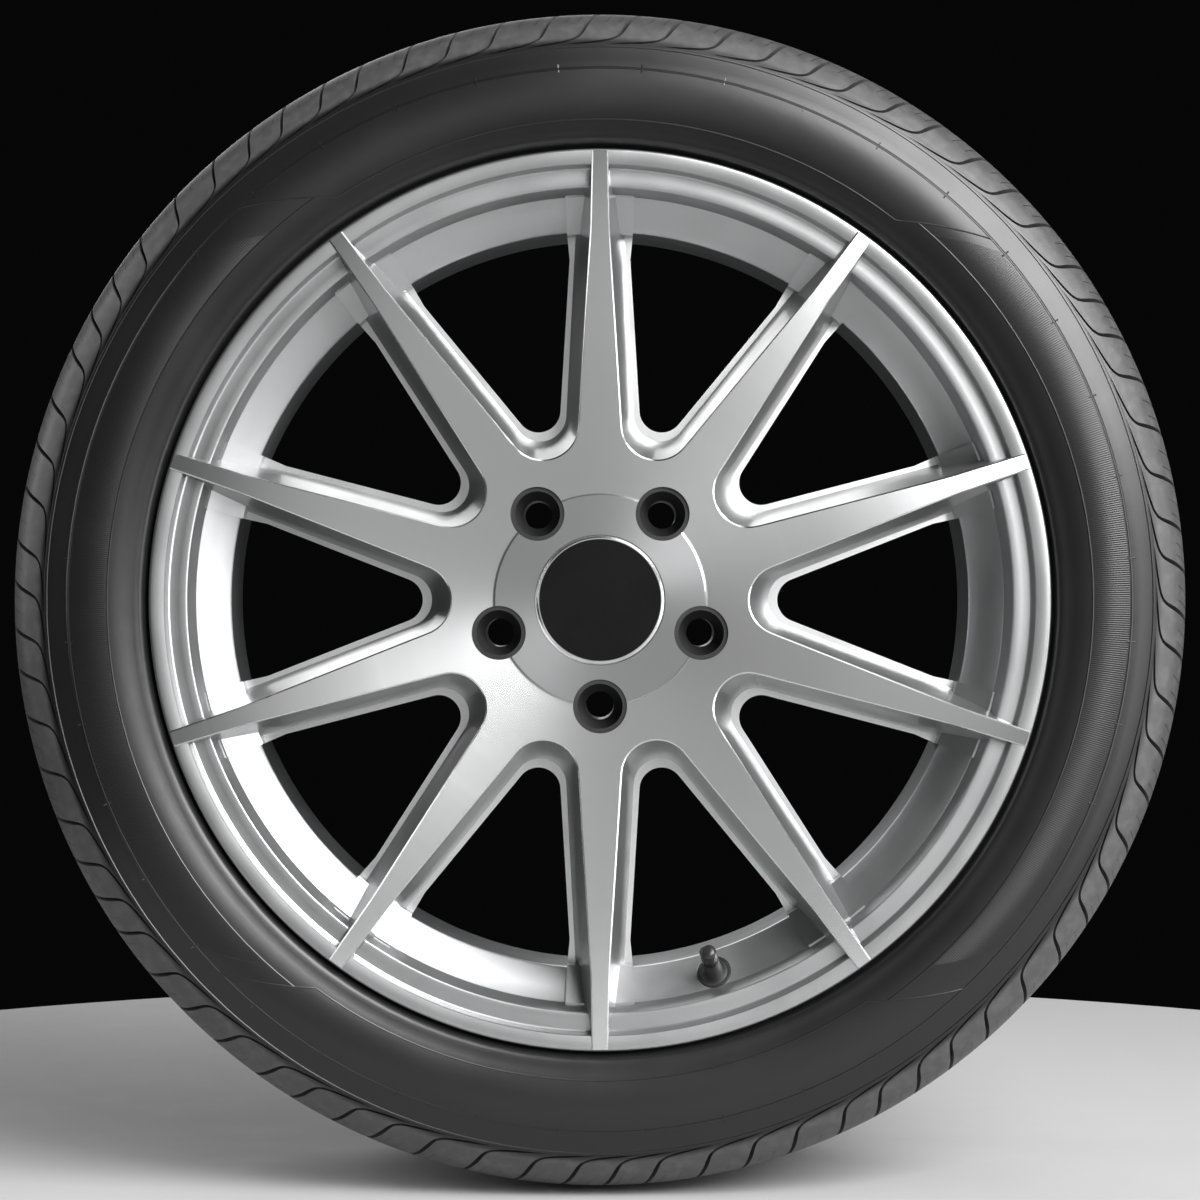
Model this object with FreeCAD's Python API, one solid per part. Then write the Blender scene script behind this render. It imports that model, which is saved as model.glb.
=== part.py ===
import FreeCAD, Part
import math
import os

# Road wheel with its tyre. The wheel axis is Y, the outer face looks towards -Y and +Z is up.
# The origin is the wheel's centre. Sizes are in millimetres and angles in degrees.

# Tyre: tread and shoulder
tyre_diameter = 728.5
section_width = 245.0
tread_half_width = 92.0
tread_gauge = 14.0
crown_drop = 4.6
tread_edge_round = 12.0
tread_edge_drop = 0.6
shoulder_height = 29.0
shoulder_inset = 6.5
shoulder_bulge = 3.0
shoulder_gauge = 17.5
main_groove_width = 9.0
main_groove_depth = 7.5
main_groove_draft = 1.0
inner_groove_offset = 18.0
outer_groove_offset = 53.0
pitch_pattern = "SMLLMSMSLMMLS"
pitch_repeats = 6
pitch_lengths = {"S": 0.88, "M": 1.0, "L": 1.14}

# Curved groove of the shoulder, as depth below the tread, shift round the tyre and share of its width
shoulder_groove_width = 3.2
shoulder_groove_depth = 5.5
shoulder_groove_end_depth = 1.0
shoulder_groove_path = [(-2.0, 2.0, 1.0), (14.2, -8.0, 1.0), (23.0, -19.0, 0.9), (26.8, -38.0, 0.4)]

# Tyre: sidewall and bead
sidewall_gauge = 9.5
lower_sidewall_sag = 2.2
upper_sidewall_sag = 1.8
rib_half_width = 1.3
rib_height = 0.6
rib_draft = 0.3
protector_height = 7.0
protector_reach = 2.6
protector_round = 3.0
protector_drop = 1.5
lip_crevice_width = 1.5
lip_crevice_depth = 5.5
bead_gauge = 11.5
bead_width = 16.0
bead_height = 9.0
bead_taper = 4.0
bead_fit = 0.05

# Rim: tyre side
bead_seat_diameter = 512.8
rim_width = 203.2
flange_height = 17.5
flange_curve = 9.5
lip_round = 1.9
seat_corner = 6.5
seat_length = 18.5
seat_taper = 5.0
hump_height = 1.0
hump_rise = 2.0
hump_width = 4.5
well_depth = 22.4
well_start = 51.0
well_length = 42.0
well_ramp = 32.0

# Rim: inside
barrel_wall = 6.5
well_wall = 6.0
ramp_offset = 2.0
back_lip_width = 10.5
back_lip_depth = 9.4
back_lip_rise = 3.0
barrel_ramp = 12.0

# Rim: front, as depths behind the flange face
lip_band_width = 9.6
lip_band_fall = 1.0
lip_band_crown = 0.2
lip_band_crown_offset = 3.0
crease_width = 1.0
crease_land = 0.9
crease_depth = 2.8
cove_width = 12.5
cove_depth = 8.5
cove_sag_offset = 6.0
cove_sag_depth = 6.1
crest_round = 0.9
inner_wall_depth = 26.0
inner_wall_draft = 4.2
inner_wall_round = 0.9
inner_wall_round_depth = 1.6
seat_band_angle = 34.5
band_edge_width = 1.0
band_edge_drop = 1.5

# Disc and spokes
spoke_count = 10
spoke_proud = 1.0
spoke_tip_inset = 1.4
hub_pad_radius = 64.8
hub_pad_depth = 13.0
ledge_depth = 51.0
ledge_width = 3.7
ledge_width_at_hub = 5.7
web_thickness = 12.0
spoke_waist_radius = 121.0
spoke_crown_half_width_at_hub = 11.8
spoke_crown_half_width_at_rim = 6.5
spoke_foot_half_width_at_hub = 20.7
spoke_foot_half_width_at_rim = 15.2
spoke_tip_narrowing = 0.4
spoke_edge_chamfer = 0.7
window_inner_radius_at_face = 89.3
window_inner_radius_at_foot = 104.7
root_flare_length = 16.0
root_flare = 1.6
root_pad_height = 3.0
root_pad_overlap = 1.5

# Spoke roots, sunk in the metal of the rim
root_depth_at_lip = 4.0
root_depth_at_cove = 6.5
root_depth_at_seat = 15.0
root_depth_at_barrel = 21.0
root_length_at_barrel = 8.0
root_cover_at_seat = 1.6
root_sink = 2.0
root_band_sink = 6.0
root_toe = 5.0

# Hub
mount_offset = 45.0
hub_bore_radius = 35.8
hub_face_radius = 84.0
hub_overlap = 4.0
hub_core_radius = 86.0
cap_bore_radius = 32.5
cap_lip_length = 20.0
barb_room_radius = 38.0
barb_room_length = 6.0
lug_count = 5
lug_pitch_diameter = 130.0
lug_hole_radius = 8.7
lug_pocket_radius = 16.5
lug_pocket_depth = 24.0
insert_wall = 2.6
insert_sink = 0.8
insert_throat = 5.0
insert_cone_angle = 30.0
press_fit_gap = 0.02

# Centre cap
cap_radius = 39.6
cap_gap = 0.3
cap_recess_depth = 6.0
cap_proud = 0.8
cap_rim_width = 2.4
cap_rim_land = 0.6
cap_bevel_depth = 1.4
cap_floor = 2.5
cap_disc_thickness = 1.4
cap_disc_sink = 0.5
cap_disc_chamfer = 0.4
finger_wall = 2.0
finger_slot_width = 8.0
finger_count = 6
finger_barb = 0.8
finger_barb_length = 3.0
spring_wire_radius = 1.0

# Valve body
valve_angle = 163.0
valve_offset = 2.0
valve_hole_radius = 5.75
valve_spot_radius = 10.8
valve_spot_depth = 1.0
valve_wall = 5.0
valve_neck_gap = 0.05
valve_bulb_radius = 9.2
valve_bulb_height = 9.0
valve_bulb_taper = 2.4
valve_bulb_land = 2.0
valve_shoulder_radius = 7.6
valve_shoulder_height = 1.6
valve_stem_foot_radius = 5.7
valve_stem_foot_height = 5.0
valve_stem_radius = 5.1
valve_stem_height = 17.0

# Valve tube, core and cap
tube_radius = 3.85
tube_bore_radius = 2.5
tube_height = 27.0
core_sink = 0.6
core_throat_radius = 1.6
core_plug_height = 5.0
core_plug_bore = 1.15
core_seat_depth = 14.0
gasket_height = 1.2
gasket_gap = 0.2
pin_radius = 0.7
pin_proud = 0.4
pin_chamfer = 0.2
pin_collar_depth = 1.0
pin_collar_height = 0.5
pin_foot_radius = 1.1
pin_foot_height = 0.6
pin_seal_radius = 2.1
pin_seal_height = 1.5
spring_wire_radius_in_core = 0.18
spring_turns = 4
spring_seat_height = 0.6
valve_cap_wall = 1.25
valve_cap_crown = 2.0
valve_cap_round = 2.4
valve_cap_foot_gap = 0.4
cap_seal_height = 1.0
cap_seal_gap = 0.2
cap_seal_overlap = 0.4
thread_gap = 0.1
running_gap = 0.05

# Radii and planes that the pieces share
tyre_r = tyre_diameter / 2
half_section = section_width / 2
seat_r = bead_seat_diameter / 2
flange_r = seat_r + flange_height
half_rim = rim_width / 2
face_y = -(half_rim + flange_curve + lip_round)
barrel_r = seat_r - hump_height
barrel_in_r = barrel_r - barrel_wall
well_r = seat_r - well_depth
well_in_r = well_r - well_wall
well_front_y = face_y + well_start
well_back_y = well_front_y + well_length
heel_r = seat_r + seat_corner
heel_y = -(half_rim - seat_corner)
curve_r = flange_r - flange_curve
curve_y = -(half_rim + flange_curve)
pad_y = face_y + hub_pad_depth
tip_r = flange_r - spoke_tip_inset
tip_y = face_y - spoke_proud
ledge_y = face_y + ledge_depth
web_y = ledge_y + web_thickness
mount_y = -mount_offset
spoke_step = 360.0 / spoke_count
half_step = math.radians(spoke_step / 2)
cove_r = flange_r - lip_band_width
wall_top_r = cove_r - cove_width
wall_foot_r = wall_top_r - inner_wall_draft
band_slope = math.tan(math.radians(seat_band_angle))
band_top_y = face_y + inner_wall_depth
lug_r = lug_pitch_diameter / 2

MID = "mid"
CUT_PAST = 5.0
TOUCH = 0.01
ORIGIN = FreeCAD.Vector(0, 0, 0)
AXIS = FreeCAD.Vector(0, 1, 0)
ACROSS = FreeCAD.Vector(1, 0, 0)
UP = FreeCAD.Vector(0, 0, 1)


def band_y(radius):
    """Depth of the sloping band inside the rim at a radius."""
    return band_top_y + (wall_foot_r - radius) * band_slope


def seat_at(y):
    """Radius of the tapered bead seat at a distance from the rim's centre plane."""
    return seat_r - (half_rim - seat_corner - abs(y)) * math.tan(math.radians(seat_taper))


def point(radius, y):
    """Point of a turned outline."""
    return FreeCAD.Vector(radius, y, 0)


def around(centre_r, centre_y, radius, angle):
    """Outline point on a circle, the angle counted from outwards towards +Y."""
    turn = math.radians(angle)
    return centre_r + radius * math.cos(turn), centre_y + radius * math.sin(turn)


def bend(centre_r, centre_y, radius, angle):
    """The same point as the middle of an arc."""
    return around(centre_r, centre_y, radius, angle) + (MID,)


def face_of(points):
    """Face of a closed outline of (radius, y) points. A point marked MID bends an arc."""
    loop = points + [points[0]]
    edges = []
    index = 0
    while index < len(loop) - 1:
        start = point(*loop[index][:2])
        if MID in loop[index + 1]:
            middle = point(*loop[index + 1][:2])
            end = point(*loop[index + 2][:2])
            edges.append(Part.Arc(start, middle, end).toShape())
            index += 2
        else:
            edges.append(Part.LineSegment(start, point(*loop[index + 1][:2])).toShape())
            index += 1
    return Part.Face(Part.Wire(edges))


def turned(points):
    """Solid turned about Y from a closed outline."""
    return face_of(points).revolve(ORIGIN, AXIS, 360)


def mirrored(points):
    """The same outline points on the other side of the centre plane, in reverse order."""
    return [(p[0], -p[1]) + tuple(p[2:]) for p in reversed(points)]


def rod(radius, start_y, end_y, x=0.0, z=0.0):
    """Cylinder along Y."""
    return Part.makeCylinder(radius, end_y - start_y, FreeCAD.Vector(x, start_y, z), AXIS)


def clock(radius, angle, y=0.0):
    """Point at an angle clockwise from the top, seen from the outer face."""
    turn = math.radians(angle)
    return FreeCAD.Vector(radius * math.sin(turn), y, radius * math.cos(turn))


def spun(shape, angle):
    """Copy turned clockwise about the wheel axis, seen from the outer face."""
    copy = shape.copy()
    copy.rotate(ORIGIN, AXIS, angle)
    return copy


def polygon_prism(corners, start_y, end_y):
    """Prism along Y on a polygon of (x, z) corners."""
    loop = [FreeCAD.Vector(x, start_y, z) for x, z in corners]
    return Part.Face(Part.makePolygon(loop + loop[:1])).extrude(AXIS * (end_y - start_y))


# Tyre
protector_r = flange_r + protector_height
protector_y = face_y - protector_reach
shoulder_r = tyre_r - shoulder_height
shoulder_y = -(half_section - shoulder_inset)
widest_r = (protector_r + shoulder_r) / 2
corner_r = tyre_r - crown_drop
corner_y = -tread_half_width
bend_r = (corner_r + shoulder_r) / 2 + shoulder_bulge
bend_y = (corner_y + shoulder_y) / 2 - shoulder_bulge
toe_y = -(half_rim - bead_width)


def tread_at(y):
    """Radius of the tread face, a shallow crown that drops towards the tread edge."""
    return tyre_r - crown_drop * (y / tread_half_width) ** 2


def groove_stops(offset):
    """Outline points of one main groove on the front half of the tread."""
    floor_r = tyre_r - main_groove_depth
    near = -offset - main_groove_width / 2
    far = -offset + main_groove_width / 2
    return [
        (tread_at(near), near),
        (floor_r, near + main_groove_draft),
        (floor_r, far - main_groove_draft),
        (tread_at(far), far),
    ]


def bead_outline():
    """Bead from its toe over the seat and heel to the end of its contact with the flange."""
    heel_round = seat_corner - bead_fit
    curve_round = flange_curve + bead_fit
    return [
        (seat_at(toe_y) + bead_fit, toe_y),
        (seat_r + bead_fit, heel_y),
        bend(heel_r, heel_y, heel_round, 225),
        (heel_r, -half_rim + bead_fit),
        (curve_r, -half_rim + bead_fit),
        bend(curve_r, curve_y, curve_round, 60),
        around(curve_r, curve_y, curve_round, 45),
    ]


def sidewall_outline():
    """Sidewall from the rim's lip over the rim protector to the shoulder rib."""
    rib_inner_r = shoulder_r - rib_half_width
    rib_outer_r = shoulder_r + rib_half_width
    return [
        (flange_r + lip_crevice_width, face_y + lip_crevice_depth),
        (protector_r - protector_round, protector_y + protector_drop),
        (protector_r, protector_y),
        ((protector_r + widest_r) / 2, -half_section + lower_sidewall_sag, MID),
        (widest_r, -half_section),
        ((widest_r + rib_inner_r) / 2, -half_section + upper_sidewall_sag, MID),
        (rib_inner_r, shoulder_y),
        (rib_inner_r + rib_draft, shoulder_y - rib_height),
        (rib_outer_r - rib_draft, shoulder_y - rib_height),
        (rib_outer_r, shoulder_y + rib_height),
    ]


def liner_outline():
    """Inside of the tyre from the middle of the tread to the bead's toe."""
    return [
        (tyre_r - tread_gauge, 0),
        (corner_r - tread_gauge, corner_y + tread_gauge),
        (shoulder_r, shoulder_y + shoulder_gauge),
        (widest_r, -half_section + sidewall_gauge),
        (protector_r, protector_y + bead_gauge),
        (heel_r + bead_height, toe_y - bead_taper),
        (seat_r + bead_height, toe_y),
    ]


def tyre_outline():
    """Closed outline of the tyre's section, outer face first and then the inner liner."""
    edge_y = corner_y + tread_edge_round
    tread = [(bend_r, bend_y), (corner_r, corner_y), (tread_at(edge_y) - tread_edge_drop, edge_y)]
    outer = bead_outline() + sidewall_outline() + tread
    outer += groove_stops(outer_groove_offset) + groove_stops(inner_groove_offset)
    liner = liner_outline()
    back_liner = [(r, -y) for r, y in liner[1:]]
    return outer + mirrored(outer) + list(reversed(back_liner)) + liner


def groove_corners():
    """Corners of the curved groove seen along the wheel axis, one side out and the other back."""
    left = []
    right = []
    path = shoulder_groove_path
    for index, (depth, shift, share) in enumerate(path):
        before = path[max(index - 1, 0)]
        after = path[min(index + 1, len(path) - 1)]
        deeper = after[0] - before[0]
        along = after[1] - before[1]
        step = share * shoulder_groove_width / 2 / math.hypot(deeper, along)
        for side, sign in ((left, 1), (right, -1)):
            radius = tyre_r - depth + sign * along * step
            spot = clock(radius, math.degrees((shift + sign * deeper * step) / radius))
            side.append((spot.x, spot.z))
    return left + list(reversed(right))


def shoulder_groove():
    """One curved groove of the front shoulder, from the outer main groove to its end at the rib."""
    past_y = -half_section - CUT_PAST
    strip = polygon_prism(groove_corners(), past_y, -outer_groove_offset)
    kept = turned([
        (tread_at(outer_groove_offset) - shoulder_groove_depth, -outer_groove_offset),
        (corner_r - shoulder_groove_depth, corner_y),
        around(bend_r, bend_y, shoulder_groove_depth, 135),
        (shoulder_r, shoulder_y + shoulder_groove_end_depth),
        (shoulder_r, past_y - CUT_PAST),
        (tyre_r + CUT_PAST, past_y - CUT_PAST),
        (tyre_r + CUT_PAST, -outer_groove_offset),
    ])
    return strip.common(kept)


def pitch_angles():
    """Start angle of every tread pitch round the tyre."""
    letters = pitch_pattern * pitch_repeats
    unit = 360.0 / sum(pitch_lengths[letter] for letter in letters)
    angles = []
    angle = 0.0
    for letter in letters:
        angles.append(angle)
        angle += unit * pitch_lengths[letter]
    return angles


def make_tyre():
    """Tyre with main grooves and curved shoulder grooves on both sides."""
    front = shoulder_groove()
    back = front.copy()
    back.rotate(ORIGIN, UP, 180)
    cuts = [spun(tool, angle) for tool in (front, back) for angle in pitch_angles()]
    return turned(tyre_outline()).cut(cuts)


# Wheel
def tyre_side_outline():
    """Front flange of the rim from its face over the bead seat and hump to the barrel."""
    hump_y = -half_rim + seat_length
    seat_end_r = seat_at(hump_y)
    return [
        (flange_r - lip_round, face_y),
        bend(flange_r - lip_round, face_y + lip_round, lip_round, -45),
        (flange_r, face_y + lip_round),
        bend(curve_r, curve_y, flange_curve, 45),
        (curve_r, -half_rim),
        (heel_r, -half_rim),
        bend(heel_r, heel_y, seat_corner, 225),
        (seat_r, heel_y),
        (seat_end_r, hump_y),
        (seat_end_r + hump_height, hump_y + hump_rise),
        (barrel_r, hump_y + hump_width),
    ]


def rim_front_outline():
    """Visible front of the rim from the sloping band out over the cove to the lip band."""
    cove_y = face_y + cove_depth
    crease_y = face_y + crease_depth
    edge_r = well_in_r + band_edge_width
    land_r = cove_r - crease_width
    return [
        (well_in_r, band_y(well_in_r) + band_edge_drop),
        (edge_r, band_y(edge_r)),
        (wall_foot_r, band_top_y),
        (wall_foot_r + inner_wall_round * 2 / 3, band_top_y - inner_wall_round * 2 / 3, MID),
        (wall_foot_r + inner_wall_round, band_top_y - inner_wall_round_depth),
        (wall_top_r - crest_round / 2, cove_y + crest_round),
        bend(wall_top_r + crest_round, cove_y + crest_round, crest_round, 225),
        (wall_top_r + crest_round, cove_y),
        (wall_top_r + cove_sag_offset, face_y + cove_sag_depth, MID),
        (land_r - crease_land, crease_y),
        (land_r, crease_y),
        (cove_r, face_y + lip_band_fall),
        (cove_r + lip_band_crown_offset, face_y + lip_band_crown, MID),
    ]


def rim_outline():
    """Closed outline of the rim, along the tyre side from front to back and home on the inside."""
    front = tyre_side_outline()
    well = [
        (well_r, well_front_y),
        (well_r, well_back_y),
        (barrel_r, well_back_y + well_ramp),
    ]
    back = [
        (flange_r - back_lip_width, -face_y),
        (barrel_in_r + back_lip_rise, -face_y - back_lip_depth),
        (barrel_in_r, -face_y - back_lip_depth - barrel_ramp),
        (barrel_in_r, well_back_y + well_ramp + ramp_offset),
        (well_in_r, well_back_y + ramp_offset),
    ]
    return front + well + mirrored(front) + back + rim_front_outline()


def root_outline():
    """Ends of the spokes and their web inside the barrel's and the band's metal."""
    foot_r = (well_r + well_in_r) / 2
    toe_r = foot_r + root_toe
    sunk_r = barrel_in_r + root_sink
    return [
        (sunk_r, face_y + root_depth_at_barrel + root_length_at_barrel),
        (toe_r, band_y(toe_r) + root_band_sink),
        (foot_r, band_y(foot_r) + root_band_sink + root_sink),
    ]


def spoke_body_outline():
    """Outline of the full-depth disc that the spokes are cut from, sunk in the rim at its edge."""
    core_r = cap_bore_radius - CUT_PAST
    back_y = web_y - root_sink
    root = root_outline()
    return [
        (core_r, pad_y),
        (hub_pad_radius, pad_y),
        (tip_r, tip_y),
        (tip_r, face_y + root_depth_at_lip),
        (cove_r, face_y + root_depth_at_cove),
        (seat_r - root_cover_at_seat, face_y + root_depth_at_seat),
        (barrel_in_r + root_sink, face_y + root_depth_at_barrel),
    ] + root + [
        (root[-1][0], back_y),
        (core_r, back_y),
    ]


def web_outline():
    """Outline of the wide back web of the spokes, with the raised root pads on the sloping band."""
    lift = root_pad_height / math.cos(math.radians(seat_band_angle))
    foot_r = well_in_r - root_pad_overlap
    root = root_outline()
    return [
        (hub_pad_radius, ledge_y),
        (foot_r, ledge_y),
        (foot_r, band_y(foot_r) - lift),
        (wall_foot_r, band_top_y - lift),
        (barrel_in_r + root_sink, band_top_y - lift),
    ] + root + [
        (root[-1][0], web_y),
        (hub_pad_radius, web_y),
    ]


def along_spoke(distance, half_width):
    """Window corner beside a spoke: distance along the spoke and half the spoke's width there."""
    u = distance * math.cos(half_step) + half_width * math.sin(half_step)
    v = distance * math.sin(half_step) - half_width * math.cos(half_step)
    return u, v


def window_wire(y, inner_radius, stations):
    """Closed outline of one window at a depth, symmetric about the line half a step past a spoke.

    The stations are (distance along the spoke, half width) pairs. The first two give the side that
    runs tangent into the round end at the hub.
    """
    near_u, near_v = along_spoke(*stations[0])
    side = [along_spoke(*station) for station in stations[1:]]
    lean = math.atan2(side[0][1] - near_v, side[0][0] - near_u)
    apex = near_u - near_v / math.tan(lean)
    sine = math.sin(lean)
    end_round = (inner_radius - apex) * sine / (1 - sine)
    middle = inner_radius + end_round
    tangent = (middle - end_round * sine, end_round * math.cos(lean))
    right = [tangent] + side
    left = [(u, -v) for u, v in right]

    def place(corner):
        u, v = corner
        return FreeCAD.Vector(
            u * math.sin(half_step) + v * math.cos(half_step),
            y,
            u * math.cos(half_step) - v * math.sin(half_step),
        )

    edges = [Part.Arc(place(left[0]), place((inner_radius, 0)), place(right[0])).toShape()]
    walk = right + list(reversed(left))
    for start, end in zip(walk[:-1], walk[1:]):
        edges.append(Part.LineSegment(place(start), place(end)).toShape())
    return Part.Wire(edges)


def spoke_stations(y):
    """Half widths of a spoke and the window's inner radius at a depth, on its sloping side walls."""
    crown_y = (pad_y + face_y) / 2
    share = (y - crown_y) / (ledge_y - crown_y)

    def blend(crown, foot):
        return crown + (foot - crown) * share

    at_hub = blend(spoke_crown_half_width_at_hub, spoke_foot_half_width_at_hub)
    at_rim = blend(spoke_crown_half_width_at_rim, spoke_foot_half_width_at_rim)
    inner = blend(window_inner_radius_at_face, window_inner_radius_at_foot)
    past_rim = (flange_r + CUT_PAST) / math.cos(half_step)
    return inner, [
        (spoke_waist_radius, at_hub),
        (well_in_r, at_rim),
        (past_rim, at_rim - spoke_tip_narrowing),
    ]


def window_tools():
    """Cutters of one window: the tapered one between the spokes and the one through the web."""
    wires = []
    for y in (tip_y - CUT_PAST, web_y + CUT_PAST):
        inner, stations = spoke_stations(y)
        wires.append(window_wire(y, inner, stations))
    tapered = Part.makeLoft(wires, True, True)
    inner, stations = spoke_stations(ledge_y)
    at_hub = stations[0][1] + ledge_width
    at_rim = stations[1][1] + ledge_width
    past_barrel = (barrel_r + CUT_PAST) / math.cos(half_step)
    widened = [
        (spoke_waist_radius, at_hub),
        (well_in_r - root_flare_length, at_rim),
        (well_in_r, at_rim + root_flare),
        (past_barrel, at_rim + 2 * root_flare),
    ]
    through = window_wire(tip_y, inner + ledge_width_at_hub, widened)
    return tapered, Part.Face(through).extrude(AXIS * (web_y + CUT_PAST - tip_y))


def turned_face_y(radius):
    """Depth of the turned face, a flat hub pad and a shallow cone out to the spoke tips."""
    share = max(0.0, radius - hub_pad_radius) / (tip_r - hub_pad_radius)
    return pad_y + (tip_y - pad_y) * share


def crown_edges(spokes):
    """Edges where the turned face meets the window walls."""
    found = []
    for edge in spokes.Edges:
        spots = [edge.valueAt(edge.getParameterByLength(edge.Length * k / 4)) for k in range(5)]
        radii = [math.hypot(spot.x, spot.z) for spot in spots]
        on_face = all(abs(spot.y - turned_face_y(r)) < TOUCH for spot, r in zip(spots, radii))
        if on_face and max(radii) - min(radii) > TOUCH:
            found.append(edge)
    return found


def make_spokes(tapered, turns):
    """Disc with the windows cut, its turned edges broken by a small chamfer."""
    spokes = turned(spoke_body_outline()).cut([spun(tapered, turn) for turn in turns]).Solids[0]
    return spokes.makeChamfer(spoke_edge_chamfer, crown_edges(spokes))


def hub_cuts():
    """Cutters of the cap's recess and bore, the room of its barbs, the hub bore and the lug pockets."""
    front_y = tip_y - CUT_PAST
    back_y = mount_y + CUT_PAST
    cuts = [
        rod(cap_radius + cap_gap, front_y, cap_seat_y),
        rod(cap_bore_radius, front_y, back_y),
        rod(barb_room_radius, lip_end_y, lip_end_y + barb_room_length),
        rod(hub_bore_radius, lip_end_y, back_y),
    ]
    for angle in lug_angles():
        spot = clock(lug_r, angle)
        cuts.append(rod(lug_pocket_radius, front_y, lug_floor_y, spot.x, spot.z))
        cuts.append(rod(lug_hole_radius, front_y, back_y, spot.x, spot.z))
    return cuts


def valve_cuts():
    """Cutters of the valve's hole and of the flats round it outside and inside the rim."""
    inside = -valve_wall - valve_bulb_height - CUT_PAST
    return [
        on_valve(rod(valve_hole_radius, inside, CUT_PAST)),
        on_valve(rod(valve_spot_radius, 0, CUT_PAST)),
        on_valve(rod(valve_spot_radius, inside, -valve_wall)),
    ]


def make_wheel():
    """Cast wheel as three solids that meet face to face: the rim, the spokes and the hub's core."""
    tapered, through = window_tools()
    turns = [spoke_step * index for index in range(spoke_count)]
    spokes = make_spokes(tapered, turns)
    web = turned(web_outline()).cut([spun(through, turn) for turn in turns])
    hub = rod(hub_face_radius, ledge_y - hub_overlap, mount_y)
    rim = turned(rim_outline())
    disc = spokes.fuse([web, hub]).cut([rim] + hub_cuts() + valve_cuts()).removeSplitter()
    core = rod(hub_core_radius, tip_y - CUT_PAST, mount_y + CUT_PAST)
    return {
        "wheel_rim": rim.cut(valve_cuts()),
        "wheel_spokes": disc.cut(core),
        "wheel_hub": disc.common(core),
    }


# Lug seats
lug_floor_y = pad_y + lug_pocket_depth


def lug_angles():
    """Angles of the lug holes, each behind every second spoke."""
    return [spoke_step + index * 360.0 / lug_count for index in range(lug_count)]


def make_lug_insert(angle):
    """Sleeve with a conical seat, pressed to the floor of one lug pocket."""
    outer = lug_pocket_radius - press_fit_gap
    mouth = outer - insert_wall
    mouth_y = pad_y + insert_sink
    cone_length = (mouth - lug_hole_radius) / math.tan(math.radians(insert_cone_angle))
    throat_y = lug_floor_y - insert_throat
    sleeve = turned([
        (outer, mouth_y),
        (outer, lug_floor_y),
        (lug_hole_radius, lug_floor_y),
        (lug_hole_radius, throat_y),
        (mouth, throat_y - cone_length),
        (mouth, mouth_y),
    ])
    sleeve.translate(clock(lug_r, angle))
    return sleeve


# Centre cap
cap_seat_y = pad_y + cap_recess_depth
cap_front_y = pad_y - cap_proud
disc_r = cap_radius - cap_rim_width
disc_floor_y = cap_front_y + cap_disc_sink + cap_disc_thickness
finger_r = cap_bore_radius - cap_gap
lip_end_y = cap_seat_y + cap_lip_length
finger_end_y = lip_end_y + finger_barb_length


def make_centre_cap():
    """Cap with a bevelled rim, a sunk seat for the face disc and six clip fingers."""
    inner_r = finger_r - finger_wall
    body = turned([
        (0, disc_floor_y),
        (disc_r, disc_floor_y),
        (disc_r, cap_front_y),
        (disc_r + cap_rim_land, cap_front_y),
        (cap_radius, cap_front_y + cap_bevel_depth),
        (cap_radius, cap_seat_y),
        (finger_r, cap_seat_y),
        (finger_r, lip_end_y + cap_gap),
        (finger_r + finger_barb + cap_gap, lip_end_y + cap_gap),
        (finger_r, finger_end_y),
        (inner_r, finger_end_y),
        (inner_r, disc_floor_y + cap_floor),
        (0, disc_floor_y + cap_floor),
    ])
    length = 2 * (finger_r + finger_barb + CUT_PAST)
    corner = FreeCAD.Vector(-length / 2, cap_seat_y, -finger_slot_width / 2)
    slot = Part.makeBox(length, finger_end_y + CUT_PAST - cap_seat_y, finger_slot_width, corner)
    turns = [index * 360.0 / finger_count for index in range(finger_count // 2)]
    return body.cut([spun(slot, turn) for turn in turns])


def make_cap_disc():
    """Plain face plate with a chamfered edge, let into the cap."""
    front_y = disc_floor_y - cap_disc_thickness
    edge_r = disc_r - press_fit_gap
    return turned([
        (0, disc_floor_y),
        (edge_r, disc_floor_y),
        (edge_r, front_y + cap_disc_chamfer),
        (edge_r - cap_disc_chamfer, front_y),
        (0, front_y),
    ])


def make_cap_spring_ring():
    """Wire ring that presses the clip fingers outwards near their ends."""
    ring_r = finger_r - finger_wall - spring_wire_radius - press_fit_gap
    return Part.makeTorus(ring_r, spring_wire_radius, FreeCAD.Vector(0, lip_end_y, 0), AXIS)


# Valve, turned about its own axis with the spot face at zero and the outside towards +Y
valve_r = (wall_foot_r + well_in_r) / 2 + valve_offset
valve_lean = math.radians(seat_band_angle)
valve_foot = -valve_wall - valve_bulb_height
core_top = tube_height - core_sink
plug_foot = core_top - core_plug_height
gasket_foot = plug_foot - gasket_height
spring_foot = plug_foot + spring_seat_height
collar_foot = core_top - pin_collar_depth
core_seat = tube_height - core_seat_depth
pin_tip = tube_height + pin_proud
seal_top = core_seat - running_gap
seal_foot = seal_top - pin_seal_height
cap_foot = valve_stem_height + valve_cap_foot_gap
cap_inside = pin_tip + cap_seal_height + cap_seal_gap
cap_thread_radius = tube_radius + thread_gap


def on_valve(shape):
    """Place a shape made about the valve's axis on the sloping band of the rim."""
    outward = clock(-math.sin(valve_lean), valve_angle, -math.cos(valve_lean))
    seat = clock(valve_r, valve_angle, band_y(valve_r)) - outward * valve_spot_depth
    placed = shape.copy()
    stand = FreeCAD.Placement(seat, FreeCAD.Rotation(AXIS, outward))
    placed.Placement = stand.multiply(shape.Placement)
    return placed


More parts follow.
